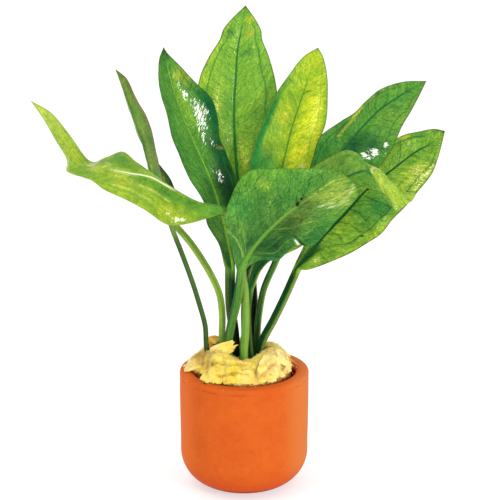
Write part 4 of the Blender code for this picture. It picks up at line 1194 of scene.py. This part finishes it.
def terracotta():
    # Fired red clay, pressed and unglazed: matt, finely pitted, cloudy in colour, with painted light on
    # its flanks and painted shade on the rim's top and inside it
    material, tree, shader = newMaterial("fired_terracotta", 0.55)
    place = addNode(tree, "TexCoord", out="Object")
    patterns = {}
    for key, (scale, detail, roughness) in potMake["patterns"].items():
        sockets = {"Vector": place, "Scale": scale, "Detail": detail, "Roughness": roughness}
        patterns[key] = addNode(tree, "TexNoise", sockets)
    cloud, mottle = patterns["cloud"], patterns["mottle"]
    pit = addNode(tree, "TexVoronoi", {"Vector": place, "Scale": 560.0})
    pits = addNode(tree, "MapRange", [pit, 0.24, 0.1], **smooth)
    split = addNode(tree, "SeparateXYZ", [place], None)
    x, z = split["X"], split["Z"]
    flatPlace = addNode(tree, "CombineXYZ", [x, split["Y"]])
    away = addNode(tree, "VectorMath", [flatPlace], "Value", operation="LENGTH")
    underLip = addNode(tree, "Math", [z, potMake["lipLine"] * mm], operation="SUBTRACT")
    underLip = addNode(tree, "Math", [underLip], operation="ABSOLUTE")
    # x, height and distance from the middle are in metres
    layers = [
        ("#D4621E", (cloud, 0.5, 0.66), 0.35),
        ("#C24C18", (cloud, 0.48, 0.34), 0.35),
        ("#D66422", (mottle, 0.52, 0.68), 0.25),
        ("#BE4A14", (mottle, 0.48, 0.32), 0.3),
        ("#A83E12", pits, 0.25),
        # painted light: the right side lighter and yellower and the left side lighter, where light falls
        # on the pot's flanks
        ("#CC7434", (x, 0.013, 0.022), 0.75),
        ("#DC6A26", (x, -0.017, -0.0225), 0.7),
        ("#C0460E", (z, 0.014, 0.003), 0.6),
        # painted shade: the rim's top darker and the inside dark red, where the wool shades them
        ("#C84A1A", (away, 0.0236, 0.0205), 0.6),
        ("#8E2A10", (away, 0.0202, 0.0188), 0.8),
        ("#B03C14", (underLip, 0.0005, 0.0001), (away, 0.024, 0.0246), (cloud, 0.42, 0.55), 0.55),
        ("#EFA87C", (patterns["chip"], 0.7, 0.75), (z, 0.0444, 0.0458), (away, 0.0232, 0.0248), 0.6),
    ]
    tree.links.new(layTones(tree, linear("#C95A1E"), layers), shader.inputs["Base Color"])
    height = addNode(tree, "Math", [mottle, 1.2, patterns["grain"]], operation="MULTIPLY_ADD")
    height = addNode(tree, "Math", [pits, -0.5, height], operation="MULTIPLY_ADD")
    sockets = {"Strength": 0.45, "Distance": 0.00018, "Height": height}
    tree.links.new(addNode(tree, "Bump", sockets), shader.inputs["Normal"])
    shader.inputs["Specular IOR Level"].default_value = 0.04
    return material


makePot()


woolMake = {
    "columns": 320,
    "heapRows": 110,
    "potHeight": potMake["height"],
    "sideRadius": 18.6,  # mm, against the inside of the pot
    "mouthRadius": 19.6,
    "edgeRadius": 18.0,
    "footZ": 5.35,  # mm, the underside
    "footRound": (9.1, 8.65),  # mm, how far its rounding reaches in and up
    "bodyZ": 16.0,  # mm, where the straight side starts
    "wallReach": 19.5,  # mm, the most that the block reaches below its lip
    "clearFrom": 19.2,  # mm from the middle, past which the heap stays clear of the pot's rim
    "clearBy": 0.12,  # mm
    # where the heap's edge bulges: direction and spread in degrees, mm
    "edgeChanges": [
        (182, 11, 5.0), (209, 8, -3.4), (229, 8, 2.0), (75, 40, 1.0), (266, 34, 1.3), (150, 14, -1.6),
    ],
    "heap": 4.3,
    # lumps of the heap: x, y, spread and height in mm
    "lumps": [
        (-12.5, 7.5, 3.8, 5), (-11, -4.4, 2.6, 3.6), (-6.6, -7.4, 2.0, 1.7), (-19, 1, 3, 1.2),
        (-12, -12, 3.2, 1.2), (-3, -11.5, 3, 1.4), (9.5, -6.5, 4.2, 3.4), (14, -1, 3.6, 2.2),
        (12, 8, 4.5, 2), (1, 15, 5, 2.2),
    ],
    # torn edges lying over each other: points in mm, side of the upper layer, its height and width
    "layers": [
        (
            [
                (-16.4, -4.9), (-14.4, -7.4), (-11.9, -9.2), (-8.8, -9.9), (-5, -11.8), (-0.6, -11.9),
                (2.6, -9.6),
            ],
            1, 1.7, 2.4,
        ),
        ([(8.6, -6.0), (7.0, -9.2), (5.6, -11.6), (4.9, -14.2), (4.9, -17.2)], 1, 1.6, 3.0),
        ([(12.2, -8.6), (10.2, -11.1), (7.6, -14.3), (4.7, -16.9)], -1, 1.1, 1.8),
        ([(-14.0, 0.8), (-14.9, -1.6), (-15.5, -3.8), (-15.0, -6.6)], 1, 2.0, 2.4),
        ([(5.6, -5.6), (8.2, -4.7), (9.9, -4.0), (12, -5.2), (14.4, -6.4)], 1, 1.0, 1.8),
        ([(-13, -14), (-8, -15.2), (-3, -15.7), (2.4, -16.2)], 1, 0.5, 1.6),
        ([(-22.5, -3.4), (-19, -5.2), (-16.6, -8.6)], 1, 0.9, 1.6),
        ([(13, -12), (15.4, -8), (16.6, -3), (16, 2)], -1, 0.8, 1.6),
        ([(-13, 12), (-6, 14), (0, 14.5), (7, 13.5)], -1, 1.1, 2.0),
        ([(16, 4), (14, 9), (9, 13)], 1, 0.9, 1.8),
    ],
    "pit": ((9.0, -4.6), 0.7, 1.8),  # the small hole in the right-hand lump: place, half width, depth
    "well": {
        "floorZ": 32.0, "waistZ": 41.0, "mouthZ": 50.0,
        "floor": (-0.5, 1.0, 7.9, 7.9), "mouth": (-1.2, 2.6, 10.3, 9.2),
    },
    # puffs and wrinkles: size and height in mm
    "puffs": [(5.0, 0.55), (2.3, 0.24), (1.1, 0.09), (0.55, 0.05)],
    "ragged": 0.75,  # mm, how far the torn rim of the heap wanders
    # the rim's rows: mm inward, mm over the pot, how much painted shade
    "lipRows": [(0.45, 0.35, 0.6), (0.12, 0.42, 0.3), (0.0, 0.62, 0.0), (0.1, 0.85, 0.0)],
    # colours by place: x, y, reach in mm, colour, strength; the brownish ones at the left edge, in the
    # creases and in the pit are painted shade
    "tints": [
        (-4.4, -14.2, 3.8, "#FBE020", 1.0), (4.2, -10.8, 2.8, "#F6DA32", 0.9),
        (-6, -10.4, 3.0, "#FAE23A", 0.8), (-17, -3, 3.4, "#DDBA50", 0.6),
        (10.5, -9.5, 4.5, "#FDE992", 0.8), (15, -4, 5, "#FEEFAE", 0.8), (-22.5, -2, 4, "#FDEFAE", 0.8),
        (-12.5, 6.5, 4.6, "#F2A636", 0.9), (-17.8, -0.5, 2.8, "#BF9140", 0.85),
        (-14, -12, 3.4, "#FBE67C", 0.7), (-11, -12.6, 2.6, "#FAE038", 0.8),
        (-17, -5.6, 2.4, "#F9DE4C", 0.7), (-11.4, -4.6, 2.4, "#FBE490", 0.8),
        (-13.8, -5.8, 1.3, "#C99A3C", 0.6), (9.2, -3.4, 1.6, "#E0A83C", 0.8),
        (4.9, -17.0, 1.4, "#A8803A", 0.7), (13, -12.5, 3, "#FDE38A", 0.6),
    ],
    # tufts: root (x, y, z), direction, pitch and roll in degrees, length, width, thickness, curl
    "tufts": [
        ((-18.3, 0.2, 48.6), 180, -4, 6, 4.8, 4.6, 1.9, -0.9),
        ((-17.6, -2.4, 48.2), 193, -6, -4, 5.6, 4.4, 1.8, -0.8),
        ((-14.4, -6.2, 47.9), 214, -6, 4, 2.8, 3.8, 1.6, -0.9),
        ((-13.2, -10.2, 48.0), 235, -6, 0, 5.2, 4.0, 1.6, -1.1),
        ((-12.4, -11.8, 48.0), 244, -7, 0, 6.2, 2.8, 1.2, -1.2),
        ((-9.8, -13.2, 48.2), 256, -13, 0, 5.2, 5.4, 1.6, -1.0),
        ((-5.2, -14.2, 48.3), 266, -15, 0, 5.2, 5.6, 1.6, -1.0),
        ((-0.4, -14.9, 48.3), 272, -15, 0, 4.7, 5.4, 1.6, -0.9),
        ((4.4, -14.6, 48.2), 284, -15, 0, 4.6, 5.2, 1.5, -0.9),
        ((8.8, -13.0, 48.2), 304, -12, 0, 4.2, 4.8, 1.6, -0.9),
        ((12.4, -10.0, 48.4), 322, -8, 0, 3.6, 3.8, 1.6, -0.9),
        ((14.8, -5.4, 48.6), 342, -6, 0, 3.4, 3.8, 1.6, -0.9),
        ((15.4, -0.4, 48.6), 0, -6, 0, 3.0, 4.0, 1.6, -0.8),
        ((-12.6, -4.0, 53.2), 4, 25, 68, 9.6, 5.6, 2.4, -0.3),
        ((-13.4, 4.2, 55.6), 50, 16, 10, 5.0, 5.0, 3.0, -0.6),
        ((9.0, -4.6, 54.6), 20, 6, 30, 5.4, 3.0, 1.5, -0.6),
        ((13.2, -6.6, 52.4), 330, -14, 10, 4.6, 3.4, 1.5, -0.7),
        ((13.8, 6.4, 49.6), 30, -4, 0, 4.6, 4.4, 1.8, -0.8),
        ((6.0, 14.2, 49.2), 62, -6, 0, 4.4, 4.4, 1.8, -0.8),
        ((-4.0, 15.2, 49.2), 100, -6, 0, 4.2, 4.6, 1.8, -0.8),
        ((-13.0, 11.4, 49.4), 138, -6, 0, 4.4, 4.6, 1.8, -0.8),
        ((-14.6, 4.6, 48.8), 166, -4, 0, 4.6, 4.0, 1.8, -0.8),
    ],
    "tuftPuffs": [(2.6, 0.26), (1.2, 0.14), (0.6, 0.08)],
    # how a tuft's end is torn: size in mm and which noise
    "tuftFolds": [(3.4, 0), (1.5, 3), (0.8, 6)],
    "noiseSeed": 2,  # without one, noise_vector takes the time, and no two runs give the same wool
    "chanceSeed": 7,  # for the strands
    "strands": 1800,
    "strandRadius": 0.05,
    "strandLength": (1.2, 4.2),
}


def woolEdge(degrees):
    edge = woolMake["edgeRadius"] + 0 * degrees
    for direction, spread, change in woolMake["edgeChanges"]:
        away = (degrees - direction + 180) % 360 - 180
        edge = edge + change * np.exp(-((away / spread) ** 2))
    return edge


def woolHeight(x, y, share):
    # height of the heap and how much painted shade each place gets in its creases and pit; share is 0 at
    # the edge and 1 at the well
    height = woolMake["potHeight"] + 1.0 + woolMake["heap"] * (1 - (1 - share) ** 3)
    hollowShade = 0 * height
    rise = np.minimum(1, 0.25 + share * 3)
    for lumpX, lumpY, spread, lump in woolMake["lumps"]:
        distance = (x - lumpX) ** 2 + (y - lumpY) ** 2
        height = height + rise * lump * np.exp(-distance / (2 * spread * spread))
    for line, side, lip, width in woolMake["layers"]:
        signed, fade = besideLine(x, y, line)
        signed, fade = signed * side, fade * np.minimum(1, 0.25 + share * 8)
        above = 0.5 + 0.5 * np.tanh(signed / 0.15)
        upper = np.exp(-np.abs(signed) / width)
        lower = np.exp(-np.abs(signed) / (width * 0.5))
        height = height + lip * fade * (0.6 * above * upper - 0.75 * (1 - above) * lower)
        hollowShade = np.maximum(hollowShade, fade * (1 - above) * np.exp(-((signed + 0.25) / 0.7) ** 2))
    (pitX, pitY), half, depth = woolMake["pit"]
    pit = np.exp(-(((x - pitX) ** 2 + (y - pitY) ** 2) / half**2))
    return height - depth * pit, np.maximum(hollowShade, pit)


def wellPoint(angle, z):
    well = woolMake["well"]
    share = np.clip((z - well["waistZ"]) / (well["mouthZ"] - well["waistZ"]), 0, 1)
    x, y, halfX, halfY = (a + (b - a) * share for a, b in zip(well["floor"], well["mouth"]))
    return x + halfX * np.cos(angle), y + halfY * np.sin(angle)


def woolRows(angle):
    # rows of points from the middle of the underside, up the side, over the heap and into the well
    size = woolMake
    top = size["potHeight"]
    edge = woolEdge(np.degrees(angle))
    rows, shares, hollowShades = [], [], []

    def ringNoise(z, turns):
        return np.array([noise.noise(Vector((math.cos(a), math.sin(a), z)) * turns) for a in angle])

    def addRow(x, y, z, share, hollowShade=0.0):
        rows.append(np.stack([x, y, z + 0 * x], axis=1))
        shares.append(share)
        hollowShades.append(hollowShade + 0 * x)

    def addRing(radius, z, hollowShade=0.0):
        radius = np.minimum(radius, edge) + 0 * angle
        addRow(radius * np.cos(angle), radius * np.sin(angle), z, 0.0, hollowShade)

    inward, upward = size["footRound"]
    for part in (0.05, 0.35, 0.7, 1):
        addRing((size["sideRadius"] - inward) * part, size["footZ"])
    for turn in np.radians([15, 30, 45, 60, 75, 90]):
        z = size["footZ"] + upward * (1 - np.cos(turn))
        addRing(size["sideRadius"] - inward + inward * np.sin(turn), z)
    for z in np.linspace(size["bodyZ"], top - 2.2, 14):
        addRing(size["sideRadius"], z)
    addRing(size["mouthRadius"], top - 1.6, 0.9)
    addRing(size["mouthRadius"] + 0.35, top - 0.6, 0.8)
    torn = ringNoise(0.3, 7) + 0.8 * ringNoise(0, 19)
    ragged = edge + size["ragged"] * torn
    for inward, lift, hollowShade in size["lipRows"]:
        x, y = (ragged - inward) * np.cos(angle), (ragged - inward) * np.sin(angle)
        addRow(x, y, top + lift, 0.001, hollowShade)
    wellX, wellY = wellPoint(angle, size["well"]["mouthZ"])
    for share in np.linspace(0.012, 0.97, size["heapRows"]):
        reach = edge + size["ragged"] * torn * (1 - share) ** 9
        outerX, outerY = reach * np.cos(angle), reach * np.sin(angle)
        x, y = outerX + (wellX - outerX) * share, outerY + (wellY - outerY) * share
        z, hollowShade = woolHeight(x, y, share)
        addRow(x, y, z - 0.5 * (1 - share) ** 30, share, hollowShade)
    mouth, hollowShade = woolHeight(wellX, wellY, 1.0)
    for part in np.linspace(0, 1, 26):
        z = mouth - 1.0 - (mouth - 1.0 - size["well"]["floorZ"]) * part
        x, y = wellPoint(angle, z)
        addRow(x, y, z, 1.0 + part, np.maximum(hollowShade, min(1, part * 5)))
    floorX, floorY = size["well"]["floor"][:2]
    for part in (0.6, 0.2):
        x, y = wellPoint(angle, size["well"]["floorZ"])
        x, y = floorX + (x - floorX) * part, floorY + (y - floorY) * part
        addRow(x, y, size["well"]["floorZ"], 2.0, 1.0)
    return np.array(rows), np.array(shares), np.array(hollowShades)


def woolTint(points, hollowShade, sunk=0.0):
    # cream to yellow by place, with painted shade: ochre in the hollows, dark down in the pot and in the
    # well, and a painted red reflection of the clay on the side just under the rim
    tint = np.zeros((len(points), 4))
    tint[:] = linear("#FCE26A")
    for x, y, reach, hexColor, strength in woolMake["tints"]:
        away = (points[:, 0] - x) ** 2 + (points[:, 1] - y) ** 2
        tint = mixIn(tint, hexColor, strength * np.exp(-away / reach**2))
    # painted shade: ochre in the creases and hollows
    tint = mixIn(tint, "#AC7414", np.clip(hollowShade, 0, 1) * 0.8)
    # painted shade: near black down in the well
    tint = mixIn(tint, "#1C160A", ease(np.clip(sunk, 0, 1) * 5) + 0 * hollowShade)
    # painted reflected light and shade: dark red on the side under the rim for the clay's light in the
    # gap, near black further down in the pot
    deep = mixIn(tint, "#8E2A12", ease((47.0 - points[:, 2]) / 1.2))
    return mixIn(deep, "#3A1A0A", ease((45.0 - points[:, 2]) / 6))


def swellOf(place, sizes, seed):
    # puffs are round with creases between them, the finest are plain wrinkles
    place = place + noise.noise_vector(place / 4.5) * 1.2 + Vector((seed, 0, 0))
    total = 0.0
    for number, (width, height) in enumerate(sizes):
        value = noise.noise(place / width)
        total += height * ((2.2 * abs(value) - 0.5) if number == 0 else value * 1.4)
    return total


def makeWool():
    size = woolMake
    columns = size["columns"]
    angle = np.arange(columns) / columns * math.tau
    rows, shares, hollowShade = woolRows(angle)
    around = np.roll(rows, -1, axis=1) - np.roll(rows, 1, axis=1)
    out = np.cross(around, np.gradient(rows, axis=0))
    out = out / np.maximum(np.linalg.norm(out, axis=2, keepdims=True), 1e-9)
    swell = np.zeros(rows.shape[:2])
    for j in range(len(rows)):
        if shares[j] > 0 and shares[j] < 2:
            swell[j] = [swellOf(Vector(place), size["puffs"], 0) for place in rows[j]]
    deep = np.clip(shares - 1, 0, 1)[:, None]
    swell = swell * np.where(deep > 0, 0.5, 1.0) * np.clip(shares[:, None] * 12, 0.25, 1)
    # painted shade in the dips between the puffs
    hollowShade = hollowShade + np.clip(-swell * 0.9, -0.1, 0.35) * (shares[:, None] > 0)
    points = rows + out * swell[:, :, None]
    # below its lip the wool stays inside the pot's wall, above it clear of the rim
    radius = np.hypot(points[:, :, 0], points[:, :, 1])
    inside = np.where(points[:, :, 2] < size["potHeight"] - 1.7, size["wallReach"], np.inf)
    shrink = np.minimum(1, inside / np.maximum(radius, 1e-6))
    points[:, :, :2] *= shrink[:, :, None]
    over = (radius > size["clearFrom"]) & (shares[:, None] > 0)
    clear = np.maximum(points[:, :, 2], size["potHeight"] + size["clearBy"])
    points[:, :, 2] = np.where(over, clear, points[:, :, 2])
    heap = points[(shares > 0.02) & (shares < 1)].reshape(-1, 3)
    poles = [np.repeat(ring.mean(axis=0)[None, None], columns, 1) for ring in (points[0], points[-1])]
    points = np.concatenate([poles[0], points, poles[1]])
    hollowShade = np.concatenate([hollowShade[:1], hollowShade, hollowShade[-1:]])
    turn = np.concatenate([np.arange(columns), [0]])
    piece, column, row = wrappedGrid("rockwool_plug", columns + 1, len(points))
    place = points[row, turn[column]]
    placePoints(piece, place)
    sunk = np.concatenate([shares[:1], shares, shares[-1:]])[row] - 1
    giveTint(piece, woolTint(place, hollowShade[row, turn[column]], sunk))
    closeSeams(piece)
    finishPiece(piece, woolMaterial("spun_rockwool"), "rockwool", "rockwool")
    return heap


def giveTint(piece, tint):
    layer = piece.data.color_attributes.new("woolTint", "FLOAT_COLOR", "POINT")
    layer.data.foreach_set("color", tint.astype(np.float32).ravel())


def woolMaterial(name):
    # Spun mineral fibre, felted: dull and soft, with threads and a few crumbs of dirt in it
    material, tree, shader = newMaterial(name, 0.95)
    place = addNode(tree, "TexCoord", out="Object")
    tint = addNode(tree, "Attribute", out="Color", attribute_name="woolTint")
    swirl = addNode(tree, "TexNoise", {"Vector": place, "Scale": 160.0, "Detail": 3.0}, "Color")
    bent = addNode(tree, "VectorMath", [swirl, (0.012, 0.012, 0.012), place], operation="MULTIPLY_ADD")
    sockets = {"Vector": bent, "Scale": (1.0, 0.28, 1.0), "Rotation": (0.4, 0.3, 0.7)}
    combed = addNode(tree, "Mapping", sockets)
    patterns = []
    for vector, scale, detail, roughness in (
        (combed, 2300.0, 3.0, 0.7),
        (bent, 380.0, 4.0, 0.6),
        (place, 900.0, 1.0, 0.5),
    ):
        sockets = {"Vector": vector, "Scale": scale, "Detail": detail, "Roughness": roughness}
        patterns.append(addNode(tree, "TexNoise", sockets))
    thread, clump, crumb = patterns
    layers = [
        ("#FFF4B8", (thread, 0.52, 0.7), 0.45),
        ("#C08A26", (thread, 0.46, 0.3), 0.32),
        ("#FFF0A6", (clump, 0.52, 0.66), 0.45),
        ("#D6A436", (clump, 0.46, 0.32), 0.3),
        ("#6A4A1C", (crumb, 0.74, 0.78), 0.6),
    ]
    tree.links.new(layTones(tree, tint, layers), shader.inputs["Base Color"])
    height = addNode(tree, "Math", [clump, 1.5, thread], operation="MULTIPLY_ADD")
    sockets = {"Strength": 0.55, "Distance": 0.0003, "Height": height}
    tree.links.new(addNode(tree, "Bump", sockets), shader.inputs["Normal"])
    shader.inputs["Specular IOR Level"].default_value = 0.05
    return material


def makeTufts():
    # torn tufts along the heap's edge and on top: each a ball drawn out, flattened, frayed and bent over
    pieces = []
    for number, (root, heading, pitch, roll, length, width, thick, curl) in enumerate(woolMake["tufts"]):
        deselectAll()
        bpy.ops.mesh.primitive_ico_sphere_add(subdivisions=5, radius=1)
        ball = bpy.context.object
        flat = np.empty(len(ball.data.vertices) * 3)
        ball.data.vertices.foreach_get("co", flat)
        u, v, w = flat.reshape(-1, 3).T
        seed = number * 5.1
        folds = [
            np.array([noise.noise(Vector((b * width / fold, seed, layer))) for b in v])
            for fold, layer in woolMake["tuftFolds"]
        ]
        finger = 0.5 * folds[0] + 0.26 * folds[1]
        # blunt, torn across the end
        u = u / np.sqrt(1.0001 - 0.82 * v * v)
        ahead = (u + 1) / 2
        reach = length * ahead * (1 + (finger * 0.4 + 0.2 * folds[2]) * ease(ahead * 1.6 - 0.5))
        wide = width / 2 * v * (1.15 - 0.35 * ahead)
        deep = thick / 2 * w * (1.1 - 0.85 * ahead)
        deep = deep + curl * ahead**2 * length / 5
        h, p, r = (math.radians(a) for a in (heading, pitch, roll))
        forward = np.array([math.cos(h) * math.cos(p), math.sin(h) * math.cos(p), math.sin(p)])
        sideways = np.array([-math.sin(h), math.cos(h), 0])
        upward = np.cross(forward, sideways)
        rolled = sideways * math.cos(r) + upward * math.sin(r)
        upward = upward * math.cos(r) - sideways * math.sin(r)
        place = np.array(root) + reach[:, None] * forward
        place = place + wide[:, None] * rolled + deep[:, None] * upward
        bumps = [swellOf(Vector(a), woolMake["tuftPuffs"], seed) for a in place]
        outward = upward * (np.sign(w) * (1.1 - 0.7 * ahead))[:, None]
        place = place + np.array(bumps)[:, None] * outward
        # it lies on the rim, and may hang down past it
        distance = np.hypot(place[:, 0], place[:, 1])
        rest = woolMake["potHeight"] + 0.1 - np.maximum(0, distance - 23.6) ** 2
        place[:, 2] = np.where(distance > 19, np.maximum(place[:, 2], rest), place[:, 2])
        placePoints(ball, place)
        # painted shade in the tuft's dips
        giveTint(ball, woolTint(place, np.clip(0.12 - np.array(bumps) * 0.8, 0, 0.5)))
        pieces.append(ball)
    deselectAll()
    for ball in pieces:
        ball.select_set(True)
    bpy.context.view_layer.objects.active = pieces[0]
    bpy.ops.object.join()
    piece = bpy.context.object
    piece.name = "rockwool_tufts"
    bpy.ops.object.transform_apply(location=True, rotation=True, scale=True)
    bpy.ops.object.shade_smooth()
    finishPiece(piece, woolMaterial("torn_rockwool"), "rockwool")


def makeStrands(heap):
    # loose fibres lying over the heap: one thread is modelled, repeated and laid out
    size = woolMake
    count, parts, spacing = size["strands"], 7, 4
    deselectAll()
    bpy.ops.mesh.primitive_cylinder_add(vertices=3, radius=1, depth=2, rotation=(0, math.pi / 2, 0))
    piece = bpy.context.object
    piece.name = "rockwool_fibres"
    bpy.ops.object.transform_apply(location=True, rotation=True, scale=True)
    bpy.ops.object.mode_set(mode="EDIT")
    for i in range(1, parts):
        bpy.ops.mesh.select_all(action="SELECT")
        bpy.ops.mesh.bisect(plane_co=(-1 + 2 * i / parts, 0, 0), plane_no=(1, 0, 0))
    bpy.ops.object.mode_set(mode="OBJECT")
    array = piece.modifiers.new("repeat", "ARRAY")
    array.count = count
    array.use_relative_offset = False
    array.use_constant_offset = True
    array.constant_offset_displace = (spacing, 0, 0)
    bpy.ops.object.modifier_apply(modifier="repeat")
    flat = np.empty(len(piece.data.vertices) * 3)
    piece.data.vertices.foreach_get("co", flat)
    flat = flat.reshape(-1, 3)
    which = np.rint(flat[:, 0] / spacing).astype(int)
    along = (flat[:, 0] - which * spacing + 1) / 2
    chance = np.random.default_rng(size["chanceSeed"])
    start = heap[chance.integers(0, len(heap), count)]
    heading = chance.uniform(0, math.tau, count)
    length = chance.uniform(*size["strandLength"], count)
    bend = chance.normal(0, 1.6, count)
    cell = 0.5  # mm, each has the height of the heap under it
    ground = {}
    for x, y, z in heap:
        key = (round(x / cell), round(y / cell))
        ground[key] = max(ground.get(key, -1e9), z)
    lines = np.empty((count, parts + 1, 3))
    for i in range(count):
        (x, y, z), turn = start[i], heading[i]
        lift = abs(chance.normal(0, 0.16))
        rise = chance.uniform(0.3, 1.3) if chance.random() < 0.25 else 0
        for j in range(parts + 1):
            under = ground.get((round(x / cell), round(y / cell)), z - 0.3)
            z = z + np.clip(under - z, -0.5, 0.5)
            arch = lift * math.sin(math.pi * j / parts) + rise * (j / parts) ** 2
            lines[i, j] = (x, y, max(z, size["potHeight"] + 0.1) + 0.02 + arch)
            x += length[i] / parts * math.cos(turn)
            y += length[i] / parts * math.sin(turn)
            turn += bend[i] / parts
    step = np.clip(along * parts, 0, parts - 1e-6)
    below = step.astype(int)
    rest = (step - below)[:, None]
    center = lines[which, below] * (1 - rest) + lines[which, below + 1] * rest
    ahead = unit(lines[which, below + 1] - lines[which, below] + 1e-9)
    sideways = unit(np.cross(ahead, np.array([0.0, 0.0, 1.0])) + 1e-9)
    upward = np.cross(sideways, ahead)
    radius = size["strandRadius"] * (0.4 + 0.6 * np.sin(np.pi * np.clip(along, 0.03, 0.97)))
    radius = (radius * chance.uniform(0.7, 1.4, count)[which])[:, None]
    place = center + (sideways * flat[:, 1:2] + upward * flat[:, 2:3]) * radius
    placePoints(piece, place)
    tint = mixIn(woolTint(place, 0 * along), "#FFF2B0", chance.uniform(0.1, 0.9, count)[which])
    tint = mixIn(tint, "#7E5A1C", (chance.random(count) < 0.07)[which] * 0.7)
    giveTint(piece, tint)
    closeSeams(piece, seamGap / 4)
    finishPiece(piece, woolMaterial("loose_rockwool_fibre"), "rockwool")


noise.seed_set(woolMake["noiseSeed"])
heap = makeWool()
makeTufts()
makeStrands(heap)


crownMake = {
    "radius": 7.0,
    "bottom": 32.6,
    "shoulder": 39.8,
    "bud": (3.0, 45.6),  # mm, radius and top of the bud in the middle
    "middle": (-0.5, 1.0),
    "columns": 120,
    "rows": 70,
    "scars": 7,  # old leaf stalks' scars around the side
}


def makeCrown():
    # short rootstock, ringed with the scars of old stalks, a bud in its middle
    size = crownMake
    columns = size["columns"]
    angle = np.arange(columns) / columns * math.tau
    side, low, high = size["radius"], size["bottom"], size["shoulder"]
    bud, budTop = size["bud"]
    outline = [
        (0.02, low), (side - 1.2, low), (side, low + 2), (side, high - 1), (side - 0.8, high),
        (bud + 0.4, high), (bud, high + 1.5), (bud * 0.7, budTop - 1.2), (0.02, budTop),
    ]
    outline = alongCurve([(r, 0, z) for r, z in outline], np.linspace(0, 1, size["rows"]))
    radius, z = np.maximum(outline[:, 0], 0)[:, None], outline[:, 2][:, None]
    scars = np.sin(angle[None, :] * size["scars"] + z * 1.1) * 0.18 + np.sin(z * 3.2) * 0.1
    fuzz = np.array([
        [noise.noise(Vector((r * math.cos(a), r * math.sin(a), h)) / 1.1) for a in angle]
        for r, h in zip(radius[:, 0], z[:, 0])
    ])
    radius = np.maximum(radius + (scars + fuzz * 0.16) * np.minimum(1, radius / 3), 0)
    x, y = size["middle"]
    points = np.stack([x + radius * np.cos(angle), y + radius * np.sin(angle), z + 0 * radius], axis=2)
    points[0] = points[0].mean(axis=0)
    points[-1] = points[-1].mean(axis=0)
    turn = np.concatenate([np.arange(columns), [0]])
    piece, column, row = wrappedGrid("crown_rootstock", columns + 1, len(points))
    placePoints(piece, points[row, turn[column]])
    closeSeams(piece)
    finishPiece(piece, rootstock(), "rootstock", "crown")


def rootstock():
    # Fibrous root tissue, damp: brown-green and dull, with paler threads running down it
    material, tree, shader = newMaterial("damp_rootstock", 0.7)
    place = addNode(tree, "TexCoord", out="Object")
    drawn = addNode(tree, "Mapping", {"Vector": place, "Scale": (1.0, 1.0, 0.25)})
    thread = addNode(tree, "TexNoise", {"Vector": drawn, "Scale": 1400.0, "Detail": 3.0})
    color = layTones(tree, linear("#1F2A10"), [("#6B6A35", (thread, 0.35, 0.65))])
    tree.links.new(color, shader.inputs["Base Color"])
    sockets = {"Strength": 0.6, "Distance": 0.0003, "Height": thread}
    tree.links.new(addNode(tree, "Bump", sockets), shader.inputs["Normal"])
    return material


makeCrown()


stageMake = {
    "size": 9,  # metres
    "drop": 0.0002,  # metres that the paper lies under the pot
    "paper": "#BCBCBC",
    "ownLight": 0.55,
}


def makeStage():
    deselectAll()
    drop = (0, 0, -stageMake["drop"])
    bpy.ops.mesh.primitive_plane_add(size=stageMake["size"], location=drop)
    floor = bpy.context.object
    floor.name = "studio_floor"
    material, _, shader = newMaterial("white_paper_floor", 0.9)
    # lit paper: part of its white is its own light, so that the shadow on it stays faint
    shader.inputs["Base Color"].default_value = linear(stageMake["paper"])
    shader.inputs["Emission Color"].default_value = linear("#FFFFFF")
    shader.inputs["Emission Strength"].default_value = stageMake["ownLight"]
    floor.data.materials.append(material)


studio = {
    "target": (0.00224, 0.0, 0.0941),  # metres
    "distance": 0.75,
    "elevation": 16.3,  # degrees
    "lens": 142.0,  # mm
    "sensor": 36,  # mm
    "worldStrength": 1.0,
    # each lamp: direction from the plant, distance in metres, size in metres, watts
    "lamps": {
        "key": ((0.62, -0.72, 0.30), 1.2, 0.07, 4.6),
        "front": ((0.02, -0.99, 0.16), 1.3, 0.06, 1.0),
        "top": ((-0.35, -0.3, 0.9), 1.1, 0.5, 2.0),
    },
}


def makeStudio():
    scene = bpy.context.scene
    scene.view_settings.view_transform = "Standard"
    target = Vector(studio["target"])
    tilt = math.radians(studio["elevation"])
    camera = bpy.data.objects.new("camera", bpy.data.cameras.new("camera"))
    scene.collection.objects.link(camera)
    camera.data.lens = studio["lens"]
    camera.data.sensor_width = studio["sensor"]
    camera.location = target + Vector((0, -math.cos(tilt), math.sin(tilt))) * studio["distance"]
    camera.rotation_euler = (math.pi / 2 - tilt, 0, 0)
    scene.camera = camera
    world = scene.world or bpy.data.worlds.new("white_tent")
    scene.world = world
    world.use_nodes = True
    sky = world.node_tree.nodes["Background"]
    sky.inputs["Color"].default_value = (1, 1, 1, 1)
    sky.inputs["Strength"].default_value = studio["worldStrength"]
    for name, (direction, distance, size, watts) in studio["lamps"].items():
        lamp = bpy.data.objects.new(name, bpy.data.lights.new(name, "AREA"))
        scene.collection.objects.link(lamp)
        lamp.data.size = size
        lamp.data.energy = watts
        lamp.location = target + Vector(direction).normalized() * distance
        lamp.rotation_euler = (target - lamp.location).to_track_quat("-Z", "Y").to_euler()
        lamp.visible_camera = False  # its reflections show, not the lamp itself


makeStage()
makeStudio()
print("studio ready")
